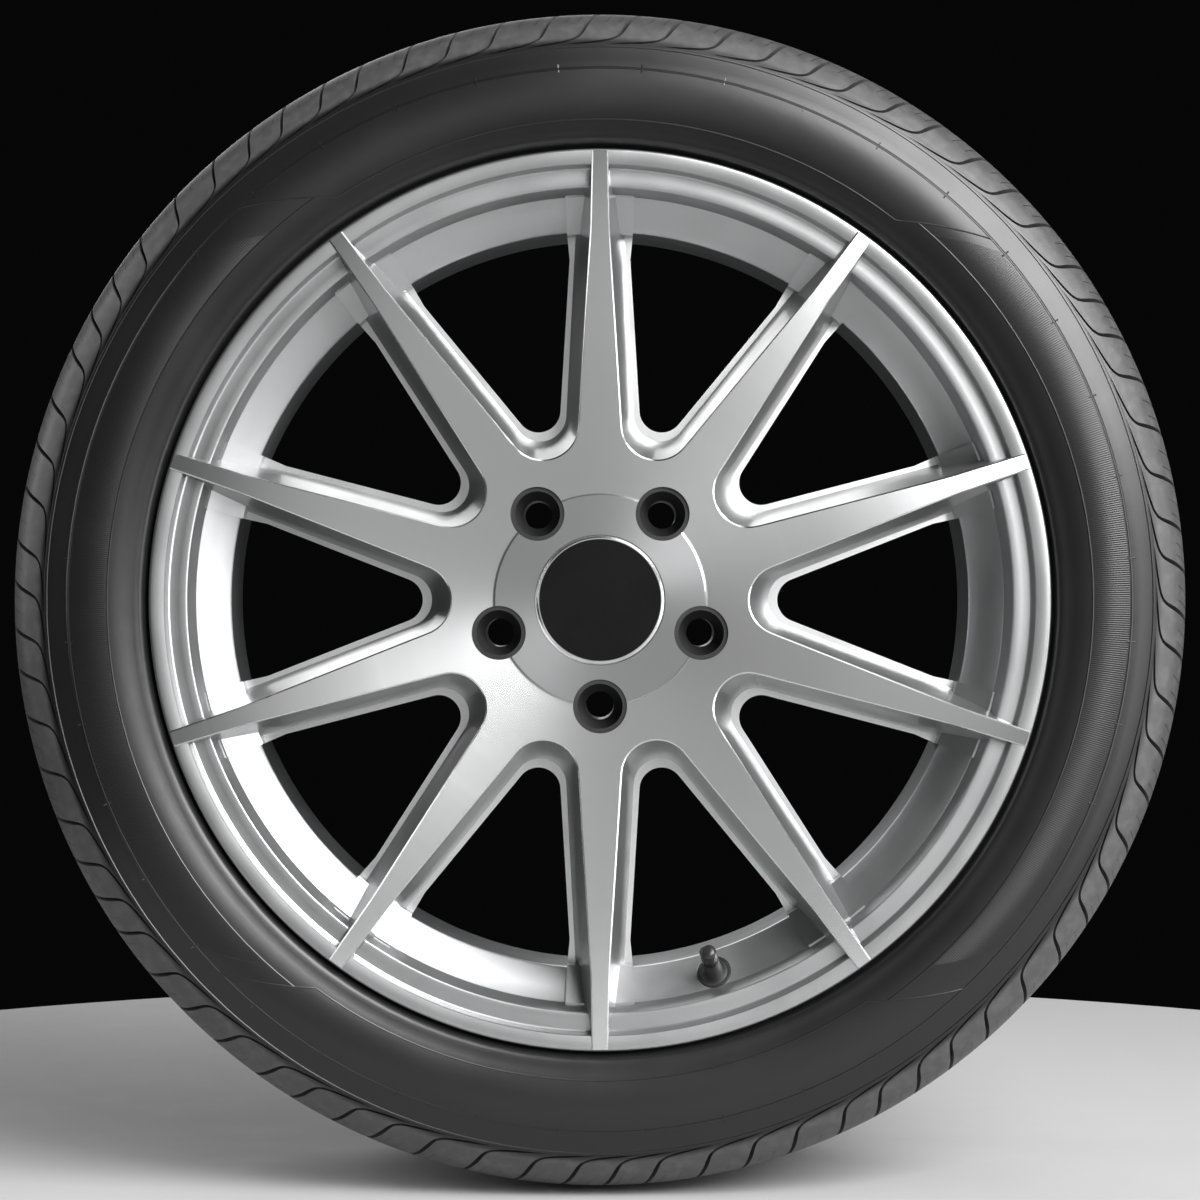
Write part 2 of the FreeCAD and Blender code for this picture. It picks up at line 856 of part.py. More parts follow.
def make_valve_body():
    """Rubber body: bulb inside the rim, neck in the hole, outer shoulder and tapered stem."""
    neck = valve_hole_radius - valve_neck_gap
    hole = tube_radius + press_fit_gap
    return turned([
        (hole, valve_foot),
        (valve_bulb_radius - valve_bulb_taper, valve_foot),
        (valve_bulb_radius, -valve_wall - valve_bulb_land),
        (valve_bulb_radius, -valve_wall),
        (neck, -valve_wall),
        (neck, 0),
        (valve_shoulder_radius, 0),
        (valve_shoulder_radius, valve_shoulder_height),
        (valve_stem_foot_radius, valve_stem_foot_height),
        (valve_stem_radius, valve_stem_height),
        (hole, valve_stem_height),
    ])


def make_valve_tube():
    """Brass tube with a narrow throat that the core's seal closes."""
    return turned([
        (tube_radius, valve_foot),
        (tube_radius, tube_height),
        (tube_bore_radius, tube_height),
        (tube_bore_radius, gasket_foot),
        (core_throat_radius, gasket_foot),
        (core_throat_radius, core_seat),
        (tube_bore_radius, core_seat),
        (tube_bore_radius, valve_foot),
    ])


def make_core_plug():
    """Screwed head of the core, with a lip at its foot that carries the spring."""
    outer = tube_bore_radius - press_fit_gap
    lip = pin_radius + thread_gap
    return turned([
        (lip, plug_foot),
        (outer, plug_foot),
        (outer, core_top),
        (core_plug_bore, core_top),
        (core_plug_bore, spring_foot),
        (lip, spring_foot),
    ])


def make_core_gasket():
    """Sealing ring between the plug and the tube's step."""
    outer = tube_bore_radius - press_fit_gap
    hole = core_plug_bore + gasket_gap
    return turned([
        (hole, gasket_foot),
        (outer, gasket_foot),
        (outer, plug_foot),
        (hole, plug_foot),
    ])


def make_valve_pin():
    """Pin through the core with a collar over its spring and a foot for the seal."""
    collar_r = core_plug_bore - running_gap
    return turned([
        (0, seal_foot - pin_foot_height),
        (pin_foot_radius, seal_foot - pin_foot_height),
        (pin_foot_radius, seal_foot),
        (pin_radius, seal_foot),
        (pin_radius, collar_foot),
        (collar_r, collar_foot),
        (collar_r, collar_foot + pin_collar_height),
        (pin_radius, collar_foot + pin_collar_height),
        (pin_radius, pin_tip - pin_chamfer),
        (pin_radius - pin_chamfer, pin_tip),
        (0, pin_tip),
    ])


def make_pin_seal():
    """Rubber washer that the pin draws up under the tube's throat."""
    hole = pin_radius + press_fit_gap
    return turned([
        (hole, seal_foot),
        (pin_seal_radius, seal_foot),
        (pin_seal_radius, seal_top),
        (hole, seal_top),
    ])


def make_valve_spring():
    """Coil spring round the pin, between the plug's lip and the pin's collar."""
    coil_r = (pin_radius + core_plug_bore) / 2
    start = spring_foot + spring_wire_radius_in_core + running_gap
    height = collar_foot - spring_wire_radius_in_core - running_gap - start
    helix = Part.makeHelix(height / spring_turns, height, coil_r)
    section = Part.Wire(Part.makeCircle(
        spring_wire_radius_in_core, FreeCAD.Vector(coil_r, 0, 0), AXIS))
    coil = Part.Wire(helix).makePipeShell([section], True, True)
    coil.rotate(ORIGIN, ACROSS, -90)
    coil.translate(AXIS * start)
    return coil


def make_valve_cap():
    """Screwed dust cap with a rounded end, hollow for the tube's end and the seal."""
    outer = cap_thread_radius + valve_cap_wall
    top = cap_inside + valve_cap_crown
    return turned([
        (cap_thread_radius, cap_foot),
        (outer, cap_foot),
        (outer, top - valve_cap_round),
        bend(outer - valve_cap_round, top - valve_cap_round, valve_cap_round, 45),
        (outer - valve_cap_round, top),
        (0, top),
        (0, cap_inside),
        (cap_thread_radius, cap_inside),
    ])


def make_cap_seal():
    """Rubber washer in the end of the cap, over the mouth of the tube."""
    outer = cap_thread_radius - running_gap
    hole = tube_bore_radius - cap_seal_overlap
    return turned([
        (hole, tube_height + running_gap),
        (outer, tube_height + running_gap),
        (outer, cap_inside - running_gap),
        (hole, cap_inside - running_gap),
    ])


pieces = {
    "tyre": make_tyre(),
    **make_wheel(),
    "centre_cap": make_centre_cap(),
    "cap_disc": make_cap_disc(),
    "cap_spring_ring": make_cap_spring_ring(),
    "valve_body": on_valve(make_valve_body()),
    "valve_tube": on_valve(make_valve_tube()),
    "valve_core_plug": on_valve(make_core_plug()),
    "valve_core_gasket": on_valve(make_core_gasket()),
    "valve_pin": on_valve(make_valve_pin()),
    "valve_pin_seal": on_valve(make_pin_seal()),
    "valve_spring": on_valve(make_valve_spring()),
    "valve_cap": on_valve(make_valve_cap()),
    "valve_cap_seal": on_valve(make_cap_seal()),
}
for number, lug_angle in enumerate(lug_angles(), start=1):
    pieces[f"lug_seat_insert_{number}"] = make_lug_insert(lug_angle)

os.makedirs("parts", exist_ok=True)
for name, shape in pieces.items():
    shape.exportStep(f"parts/{name}.step")
    print(name, shape.ShapeType, len(shape.Solids), shape.isValid(), round(shape.Volume, 2))
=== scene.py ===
import logging
import math
from contextlib import contextmanager
from dataclasses import dataclass
from enum import Enum
from typing import Iterator, Optional, Sequence, Union

import bpy
import numpy as np
from mathutils import Matrix, Vector


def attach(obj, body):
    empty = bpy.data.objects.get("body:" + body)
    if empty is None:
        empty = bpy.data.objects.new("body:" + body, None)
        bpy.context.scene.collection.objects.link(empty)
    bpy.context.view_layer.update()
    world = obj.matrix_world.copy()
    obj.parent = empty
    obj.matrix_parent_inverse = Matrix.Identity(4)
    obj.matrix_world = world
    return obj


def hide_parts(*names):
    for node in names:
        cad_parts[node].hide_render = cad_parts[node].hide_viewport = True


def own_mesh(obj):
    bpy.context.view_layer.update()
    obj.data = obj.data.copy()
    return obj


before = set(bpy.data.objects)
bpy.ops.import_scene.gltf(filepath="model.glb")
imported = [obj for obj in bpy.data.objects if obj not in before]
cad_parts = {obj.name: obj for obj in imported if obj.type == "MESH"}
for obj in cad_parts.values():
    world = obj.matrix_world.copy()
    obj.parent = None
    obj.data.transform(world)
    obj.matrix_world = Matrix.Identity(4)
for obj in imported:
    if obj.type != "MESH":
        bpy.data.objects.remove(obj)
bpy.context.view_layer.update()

log = logging.getLogger("road_wheel")

MM = 0.001
WHEEL_BODY = "wheel"
WELD_DISTANCE = 1e-6
PAD_RADIUS = 64.8 * MM
PANEL_INNER = 290.6 * MM
PANEL_OUTER = 321.2 * MM
PANEL_LEAN_DEG = 9.4
MIX_INPUTS = (0, 6, 7)
MIX_OUTPUT = 2
PITCH_LENGTHS = {"S": 0.88, "M": 1.0, "L": 1.14}
Socket = bpy.types.NodeSocket
Value = Union[Socket, float, Sequence[float]]
Piece = bpy.types.Object
RadialPoint = tuple[float, float]
VALVE_SEAT = Vector((70.27634, -80.81508, -229.86354)) * MM
VALVE_AXIS = Vector((-0.165601157, -0.824126189, 0.541656978))


class Side(Enum):
    """The two faces of the wheel, with the sign of their Y."""

    FRONT = -1
    BACK = 1


class CastFinish(Enum):
    """The finishes of the casting, in the order of its material slots."""

    PAINT = 0
    TURNED = 1
    # Dark copy of the paint on the barrel and the back: painted shade.
    BARREL = 2
    # Bright copy of the paint on the spokes' flat ledges: painted highlight.
    LEDGE = 3


# Bench work shared by the pieces

def pick(piece: Piece) -> None:
    """Select one object alone and make it the active one.

    Args:
        piece: The object.
    """
    bpy.ops.object.select_all(action="DESELECT")
    piece.select_set(True)
    bpy.context.view_layer.objects.active = piece


@contextmanager
def editing(piece: Piece) -> Iterator[None]:
    """Edit mode on one object, with all of its mesh selected at the start.

    Args:
        piece: The object.
    """
    pick(piece)
    bpy.ops.object.mode_set(mode="EDIT")
    bpy.ops.mesh.select_all(action="SELECT")
    yield
    bpy.ops.object.mode_set(mode="OBJECT")


def fresh_piece(name: str) -> Piece:
    """Name the object that the last operator added, and its data.

    Args:
        name: The name.

    Returns:
        The object.
    """
    piece = bpy.context.view_layer.objects.active
    piece.name = name
    piece.data.name = name
    return piece


def millimetres(points: Sequence[RadialPoint]) -> list[RadialPoint]:
    """Points given in millimetres, in metres."""
    return [(r * MM, y * MM) for r, y in points]


def weld(piece: Piece) -> None:
    """Merge doubled points and turn the faces outwards.

    Args:
        piece: The object.
    """
    with editing(piece):
        bpy.ops.mesh.remove_doubles(threshold=WELD_DISTANCE)
        bpy.ops.mesh.normals_make_consistent(inside=False)


def smooth(piece: Piece, angle_deg: float) -> None:
    """Shade a piece smooth, with edges kept where faces meet at more than an angle."""
    pick(piece)
    bpy.ops.object.shade_smooth_by_angle(angle=math.radians(angle_deg))


def settle(piece: Piece) -> None:
    """Put an object's place and turn into its mesh."""
    pick(piece)
    bpy.ops.object.transform_apply(location=True, rotation=True, scale=True)


def turned_piece(name: str, section: list[RadialPoint], steps: int) -> Piece:
    """Spin a closed section about the Y axis, as on a lathe.

    Args:
        name: The piece's name.
        section: Points (radius, y) once round the section.
        steps: Facets round the axis.

    Returns:
        The turned piece.
    """
    bpy.ops.mesh.primitive_circle_add(vertices=len(section), radius=1.0, fill_type="NOTHING")
    piece = fresh_piece(name)
    piece.data.vertices.foreach_set("co", np.array([(r, y, 0.0) for r, y in section]).ravel())
    piece.data.update()
    with editing(piece):
        bpy.ops.mesh.spin(steps=steps, angle=2 * math.pi, center=(0.0, 0.0, 0.0), axis=(0.0, 1.0, 0.0))
    weld(piece)
    with editing(piece):
        bpy.ops.mesh.delete_loose()
    return piece


def triples(items: bpy.types.bpy_prop_collection, key: str) -> np.ndarray:
    """One property of all of a mesh's points or faces.

    Args:
        items: The points or faces.
        key: The property.

    Returns:
        Rows of x, y, z.
    """
    flat = np.empty(len(items) * 3)
    items.foreach_get(key, flat)
    return flat.reshape(-1, 3)


def copied(name: str, *nodes: str) -> Piece:
    """Copy solids as one welded piece without a finish, with their shading kept by sharp edges.

    Args:
        name: The piece's name.
        nodes: The solids.

    Returns:
        The piece.
    """
    solids = [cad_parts[node] for node in nodes]
    pick(solids[0])
    for solid in solids[1:]:
        solid.select_set(True)
    bpy.ops.object.duplicate()
    if len(solids) > 1:
        bpy.ops.object.join()
    piece = fresh_piece(name)
    piece.parent = None
    piece.data.materials.clear()
    with editing(piece):
        bpy.ops.mesh.remove_doubles(threshold=WELD_DISTANCE, use_sharp_edge_from_normals=True)
    return piece


def hand_in(piece: Piece, body: str, slot: str, *nodes: str) -> None:
    """Set a finished piece on its body and hide the solids that it stands for.

    Args:
        piece: The finished object.
        body: The body that it moves with.
        slot: Not used.
        nodes: The solids that it replaces.
    """
    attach(piece, body)
    if nodes:
        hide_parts(*nodes)
    log.info("%s: %d faces", piece.name, len(piece.data.polygons))


# Finishes

class Graph:
    """A material with one Principled shader, wired in a few words."""

    def __init__(self, name: str) -> None:
        """Start a material with a bare shader.

        Args:
            name: The material's name.
        """
        self.material = bpy.data.materials.new(name)
        self.material.use_nodes = True
        self.tree = self.material.node_tree
        self.tree.nodes.clear()
        self.shader = self.node("ShaderNodeBsdfPrincipled")
        output = self.node("ShaderNodeOutputMaterial")
        self.feed(output.inputs["Surface"], self.shader.outputs["BSDF"])
        self.place = self.node("ShaderNodeTexCoord").outputs["Object"]

    def node(self, kind: str, **settings: object) -> bpy.types.Node:
        """Add a node and set its properties.

        Args:
            kind: The node's type.
            settings: Its properties.

        Returns:
            The node.
        """
        made = self.tree.nodes.new(kind)
        for key, value in settings.items():
            setattr(made, key, value)
        return made

    def feed(self, target: Socket, source: Value) -> None:
        """Link a socket to another, or set its constant value.

        Args:
            target: The socket that is fed.
            source: A socket or a constant.
        """
        if isinstance(source, bpy.types.NodeSocket):
            self.tree.links.new(source, target)
        else:
            target.default_value = source

    def set(self, **values: Value) -> None:
        """Feed the shader's sockets, named with underscores for spaces."""
        for key, value in values.items():
            self.feed(self.shader.inputs[key.replace("_", " ")], value)

    def wired(self, kind: str, values: Sequence[Value], keys: Sequence[Union[int, str]] = (),
              output: int = 0, **settings: object) -> Socket:
        """Add a node and feed its inputs.

        Args:
            kind: The node's type.
            values: Sockets or constants.
            keys: The inputs that they go to. With none, they go to the first ones in order.
            output: The output that is read.
            settings: The node's properties.

        Returns:
            The output.
        """
        made = self.node(kind, **settings)
        for key, value in zip(keys or range(len(values)), values):
            self.feed(made.inputs[key], value)
        return made.outputs[output]

    def math(self, operation: str, *values: Value) -> Socket:
        """One step of arithmetic on numbers."""
        return self.wired("ShaderNodeMath", values, operation=operation)

    def join(self, x: Value, y: Value, z: Value) -> Socket:
        """A vector of three parts."""
        return self.wired("ShaderNodeCombineXYZ", (x, y, z))

    def step(self, value: Socket, low: float, high: float, start: float = 0.0, end: float = 1.0) -> Socket:
        """A smooth rise from start to end as a value goes from low to high."""
        limits = (low, high, start, end)
        return self.wired("ShaderNodeMapRange", (value, *limits), interpolation_type="SMOOTHSTEP")

    def split(self, vector: Socket) -> Sequence[Socket]:
        """The three parts of a vector."""
        return self.wired("ShaderNodeSeparateXYZ", (vector,)).node.outputs

    def noise(self, scale: float, detail: float = 2.0, place: Optional[Socket] = None) -> Socket:
        """Even noise from 0 to 1, with a number of waves in a metre, over the piece or another place."""
        values = (place or self.place, scale, detail)
        return self.wired("ShaderNodeTexNoise", values, ("Vector", "Scale", "Detail"))

    def blend(self, share: Socket, first: Value, second: Value) -> Socket:
        """A colour between two others, by the second one's share."""
        values = (share, first, second)
        return self.wired("ShaderNodeMix", values, MIX_INPUTS, MIX_OUTPUT, data_type="RGBA")

    def bump(self, height: Socket, distance: float) -> Socket:
        """A normal lifted by a height, with its depth in metres for a height of one."""
        return self.wired("ShaderNodeBump", (height, distance), ("Height", "Distance"))

    def radius(self) -> Socket:
        """Distance from the wheel's axis."""
        x, _, z = self.split(self.place)
        return self.math("SQRT", self.math("ADD", self.math("MULTIPLY", x, x), self.math("MULTIPLY", z, z)))

    def clock(self) -> Socket:
        """Angle about the wheel's axis in radians, zero at the top and positive towards +X."""
        x, _, z = self.split(self.place)
        return self.math("ARCTAN2", x, z)


def grey(level: float, tint: float = 0.0) -> tuple[float, float, float, float]:
    """A grey colour, a little bluer with a positive tint."""
    return (level - tint, level, level + tint, 1.0)


@dataclass(frozen=True)
class TyreRubber:
    """Moulded tyre rubber: a clean sidewall, a duller tread and thin sipes in its blocks, bumped in and
    darkened with painted shade.
    """

    name: str = "tyre_rubber"
    sidewall: float = 0.009
    tread: float = 0.055
    sipe_shade: float = 0.006
    pitches: int = 78
    columns: int = 8
    sipe_columns: tuple[float, ...] = (5.2, 6.9)
    sipe_half_width: float = 0.05
    tread_from: float = 338 * MM
    sipe_from: float = 352 * MM
    ridge_count: int = 1500
    ridge_band: tuple[float, float] = (298.5 * MM, 320 * MM)
    panel_half_angle: float = math.radians(50)
    panel_lean: float = math.radians(PANEL_LEAN_DEG) / (PANEL_OUTER - PANEL_INNER)
    tread_blend: float = 4 * MM
    cloud_scale: float = 14.0
    dust_scale: float = 140.0
    dust_share: float = 0.6
    dust_lift: float = 1.7
    gloss: tuple[float, float] = (0.28, 0.36)
    tread_dulling: float = 0.16
    grain_scale: float = 2600.0
    grain_share: float = 0.25
    ridge_share: float = 0.35
    sipe_depth: float = 3.0
    relief_depth: float = 0.12 * MM

    def sipes(self, g: Graph, radius: Socket) -> Socket:
        """Mask of the thin cuts, which follow the columns of the moulded skin.

        Args:
            g: The material.
            radius: Distance from the axis.

        Returns:
            One in a cut, none beside it.
        """
        u, _, _ = g.split(g.node("ShaderNodeUVMap", uv_map="skin").outputs[0])
        column = g.math("MULTIPLY", g.math("FRACT", g.math("MULTIPLY", u, float(self.pitches))),
                        float(self.columns))
        cuts = None
        for centre in self.sipe_columns:
            near = g.math("ABSOLUTE", g.math("SUBTRACT", column, centre))
            cut = g.math("LESS_THAN", near, self.sipe_half_width)
            cuts = cut if cuts is None else g.math("MAXIMUM", cuts, cut)
        return g.math("MULTIPLY", cuts, g.math("GREATER_THAN", radius, self.sipe_from))

    def ridges(self, g: Graph, radius: Socket) -> Socket:
        """Fine radial ridges of the side panels.

        Args:
            g: The material.
            radius: Distance from the axis.

        Returns:
            The ridges' height, from minus one to one.
        """
        angle = g.clock()
        wave = g.math("SINE", g.math("MULTIPLY", angle, float(self.ridge_count)))
        low, high = self.ridge_band
        band = g.math("MULTIPLY", g.math("GREATER_THAN", radius, low), g.math("LESS_THAN", radius, high))
        from_level = g.math("ABSOLUTE", g.math("SUBTRACT", g.math("ABSOLUTE", angle), math.pi / 2))
        narrowed = g.math("MULTIPLY", g.math("SUBTRACT", radius, PANEL_INNER), self.panel_lean)
        side = g.math("LESS_THAN", g.math("ADD", from_level, narrowed), self.panel_half_angle)
        return g.math("MULTIPLY", wave, g.math("MULTIPLY", band, side))

    def make(self) -> bpy.types.Material:
        """Build the material.

        Returns:
            The material.
        """
        g = Graph(self.name)
        radius = g.radius()
        tread = g.step(radius, self.tread_from, self.tread_from + self.tread_blend)
        cloud = g.noise(self.cloud_scale, detail=4.0)
        dust = g.noise(self.dust_scale, detail=5.0)
        worn = g.blend(tread, grey(self.sidewall), grey(self.tread))
        patches = g.math("MULTIPLY", g.step(dust, 0.4, 0.75), tread)
        dusty = g.math("MULTIPLY", patches, self.dust_share)
        mottled = g.blend(dusty, worn, grey(self.tread * self.dust_lift))
        sipes = self.sipes(g, radius)
        dulling = g.math("MULTIPLY", tread, self.tread_dulling)
        # Inside the sipes the colour is painted shade: the same rubber, darkened as the cuts' shadow.
        g.set(Base_Color=g.blend(sipes, mottled, grey(self.sipe_shade)))
        g.set(Roughness=g.math("ADD", g.step(cloud, 0.2, 0.8, *self.gloss), dulling))
        grain = g.math("MULTIPLY", g.noise(self.grain_scale, detail=1.0), self.grain_share)
        relief = g.math("ADD", grain, g.math("MULTIPLY", self.ridges(g, radius), self.ridge_share))
        relief = g.math("SUBTRACT", relief, g.math("MULTIPLY", sipes, self.sipe_depth))
        g.set(Normal=g.bump(relief, self.relief_depth))
        return g.material


@dataclass(frozen=True)
class TurnedMetal:
    """Bright face cut on the lathe: fine rings that spread the light along the radius, and a hub pad darkened
    with painted shade.
    """

    name: str = "turned_metal"
    level: float = 0.74
    roughness: float = 0.235
    spread: float = 0.72
    tint: float = 0.004
    ring_scale: float = 2400.0
    ring_depth: float = 0.0026 * MM
    ring_share: float = 0.6
    ring_tone: float = 0.96
    broad_scale: float = 160.0
    gloss: tuple[float, float] = (0.95, 1.05)
    lacquer: float = 0.15
    lacquer_roughness: float = 0.06
    pad_edge: float = 1.1 * MM
    pad_height: float = 0.3 * MM
    pad_shade_level: float = 0.74
    rise_start: float = 66 * MM
    rise: float = 0.035
    crown_start: float = 140 * MM
    crown_fall: float = 0.63

    def crown(self, g: Graph, radius: Socket) -> Socket:
        """Height of the spokes' slight rise from the pad and of the crown towards their tips.

        Args:
            g: The material.
            radius: Distance from the axis.

        Returns:
            The height in metres.
        """
        from_pad = g.math("MAXIMUM", g.math("SUBTRACT", radius, self.rise_start), 0.0)
        to_tip = g.math("MAXIMUM", g.math("SUBTRACT", radius, self.crown_start), 0.0)
        fall = g.math("MULTIPLY", g.math("MULTIPLY", to_tip, to_tip), self.crown_fall)
        return g.math("SUBTRACT", g.math("MULTIPLY", from_pad, self.rise), fall)

    def make(self) -> bpy.types.Material:
        """Build the material.

        Returns:
            The material.
        """
        g = Graph(self.name)
        x, _, z = g.split(g.place)
        radius = g.radius()
        along = g.join(radius, 0.0, 0.0)
        rings = g.noise(self.ring_scale, detail=3.0, place=along)
        broad = g.noise(self.broad_scale, detail=2.0, place=along)
        tone = g.math("ADD", g.math("MULTIPLY", rings, self.ring_share),
                      g.math("MULTIPLY", broad, 1 - self.ring_share))
        pad = g.step(radius, PAD_RADIUS - self.pad_edge, PAD_RADIUS + self.pad_edge, 1.0, 0.0)
        face = g.blend(g.step(tone, 0.3, 0.7), grey(self.level * self.ring_tone, self.tint),
                       grey(self.level, self.tint))
        # Inside the hub pad the face colour is darkened: painted shade for the pad's other slope.
        g.set(Base_Color=g.blend(pad, face, grey(self.level * self.pad_shade_level, self.tint)))
        g.set(Roughness=g.step(tone, 0.25, 0.75, *(self.roughness * share for share in self.gloss)))
        g.set(Metallic=1.0, Anisotropic=self.spread)
        g.set(Coat_Weight=self.lacquer, Coat_Roughness=self.lacquer_roughness)
        outward = g.join(x, 0.0, z)
        g.set(Tangent=g.wired("ShaderNodeVectorMath", (outward,), operation="NORMALIZE"))
        height = g.math("ADD", g.math("MULTIPLY", rings, self.ring_depth),
                        g.math("MULTIPLY", pad, self.pad_height))
        g.set(Normal=g.bump(g.math("ADD", height, self.crown(g, radius)), 1.0))
        return g.material


@dataclass(frozen=True)
class SilverPaint:
    """Metallic silver paint under clear lacquer, with fine flake and a little settled dust."""

    name: str = "silver_paint"
    level: float = 0.46
    roughness: float = 0.36
    lacquer: float = 0.3
    lacquer_roughness: float = 0.08
    metallic: float = 0.92
    tint: float = 0.004
    flake_scale: float = 5200.0
    flake_tone: float = 0.86
    flake_depth: float = 0.010 * MM
    dust_scale: float = 22.0
    dust_share: float = 0.25
    dust_tone: float = 0.8
    gloss: tuple[float, float] = (0.88, 1.15)

    def make(self) -> bpy.types.Material:
        """Build the material.

        Returns:
            The material.
        """
        g = Graph(self.name)
        flake = g.noise(self.flake_scale, detail=1.0)
        dust = g.noise(self.dust_scale, detail=3.0)
        base = g.blend(g.step(flake, 0.35, 0.65), grey(self.level * self.flake_tone, self.tint),
                       grey(self.level, self.tint))
        dusty = g.step(dust, 0.45, 0.8, 0.0, self.dust_share)
        g.set(Base_Color=g.blend(dusty, base, grey(self.level * self.dust_tone)))
        g.set(Roughness=g.step(dust, 0.25, 0.75, *(self.roughness * share for share in self.gloss)))
        g.set(Metallic=self.metallic, Coat_Weight=self.lacquer, Coat_Roughness=self.lacquer_roughness)
        g.set(Normal=g.bump(flake, self.flake_depth))
        return g.material


@dataclass(frozen=True)
class PlainFinish:
    """A moulded, drawn or coated surface: one colour with a fine grain and uneven gloss."""

    name: str
    color: tuple[float, float, float]
    roughness: float
    metallic: float = 0.0
    grain: float = 900.0
    grain_depth: float = 0.02 * MM
    variation: float = 0.15
    coat: float = 0.0
    specular: float = 0.5
    cloud_width: float = 25.0
    gloss: tuple[float, float] = (0.85, 1.15)

    def make(self) -> bpy.types.Material:
        """Build the material.

        Returns:
            The material.
        """
        g = Graph(self.name)
        grain = g.noise(self.grain)
        cloud = g.noise(self.grain / self.cloud_width, detail=3.0)
        dark, light = (tuple(channel * share for channel in self.color) + (1.0,)
                       for share in (1 - self.variation, 1 + self.variation))
        g.set(Base_Color=g.blend(g.step(cloud, 0.3, 0.7), dark, light))
        g.set(Roughness=g.step(grain, 0.25, 0.75, *(self.roughness * share for share in self.gloss)))
        g.set(Metallic=self.metallic, Coat_Weight=self.coat, Specular_IOR_Level=self.specular)
        g.set(Normal=g.bump(grain, self.grain_depth))
        return g.material


class Finishes:
    """Every finish of the wheel, each made once."""

    def __init__(self) -> None:
        """Make the materials."""
        self.rubber = TyreRubber().make()
        self.turned = TurnedMetal().make()
        self.paint = SilverPaint().make()
        # A bright copy of the silver paint for the spokes' flat ledges: a painted highlight in place of the
        # lamps' reflection.
        self.lit_ledge = SilverPaint("ledge_highlight_paint", 0.9, 0.32, 0.2).make()
        # A dark copy of the silver paint for the rim's barrel and the casting's back: painted shade.
        self.barrel = SilverPaint("barrel_shaded_paint", 0.15, 0.46, 0.1).make()
        self.cap_rim = PlainFinish("cap_rim_silver", (0.72, 0.72, 0.73), 0.2, 0.95, coat=0.3).make()
        self.cap_face = PlainFinish("cap_face_black", (0.004, 0.004, 0.0042), 0.24, specular=0.2).make()
        self.spring = PlainFinish("drawn_spring_steel", (0.5, 0.5, 0.5), 0.3, 1.0, 3000.0).make()
        self.valve = PlainFinish("valve_moulding", (0.016, 0.016, 0.016), 0.5, grain=2500.0).make()
        self.brass = PlainFinish("valve_brass", (0.62, 0.44, 0.18), 0.3, 1.0, 2500.0).make()
        self.seal = PlainFinish("seal_moulding", (0.014, 0.014, 0.014), 0.6, grain=2500.0).make()
        self.dust_cap = PlainFinish("dust_cap_moulding", (0.018, 0.018, 0.018), 0.26, grain=2500.0).make()
        self.seat = PlainFinish("lug_seat_coating", (0.035, 0.035, 0.036), 0.42, 0.4).make()


# Tyre

@dataclass(frozen=True)
class Row:
    """One line of points round the tyre's skin.

    Fields are the radius, the distance across the tyre, the groove's depth below the line, the
    groove's shift round the tyre and its width along the line.
    """

    radius: float
    y: float
    depth: float = 0.0
    shift: float = 0.0
    width: float = 3.2 * MM


def curve_point(knots: Sequence[Vector], t: float) -> Vector:
    """Point between the middle two of four knots, on a smooth curve through them."""
    p0, p1, p2, p3 = knots
    return 0.5 * (2 * p1 + (p2 - p0) * t + (2 * p0 - 5 * p1 + 4 * p2 - p3) * t * t
                  + (3 * p1 - p0 - 3 * p2 + p3) * t ** 3)


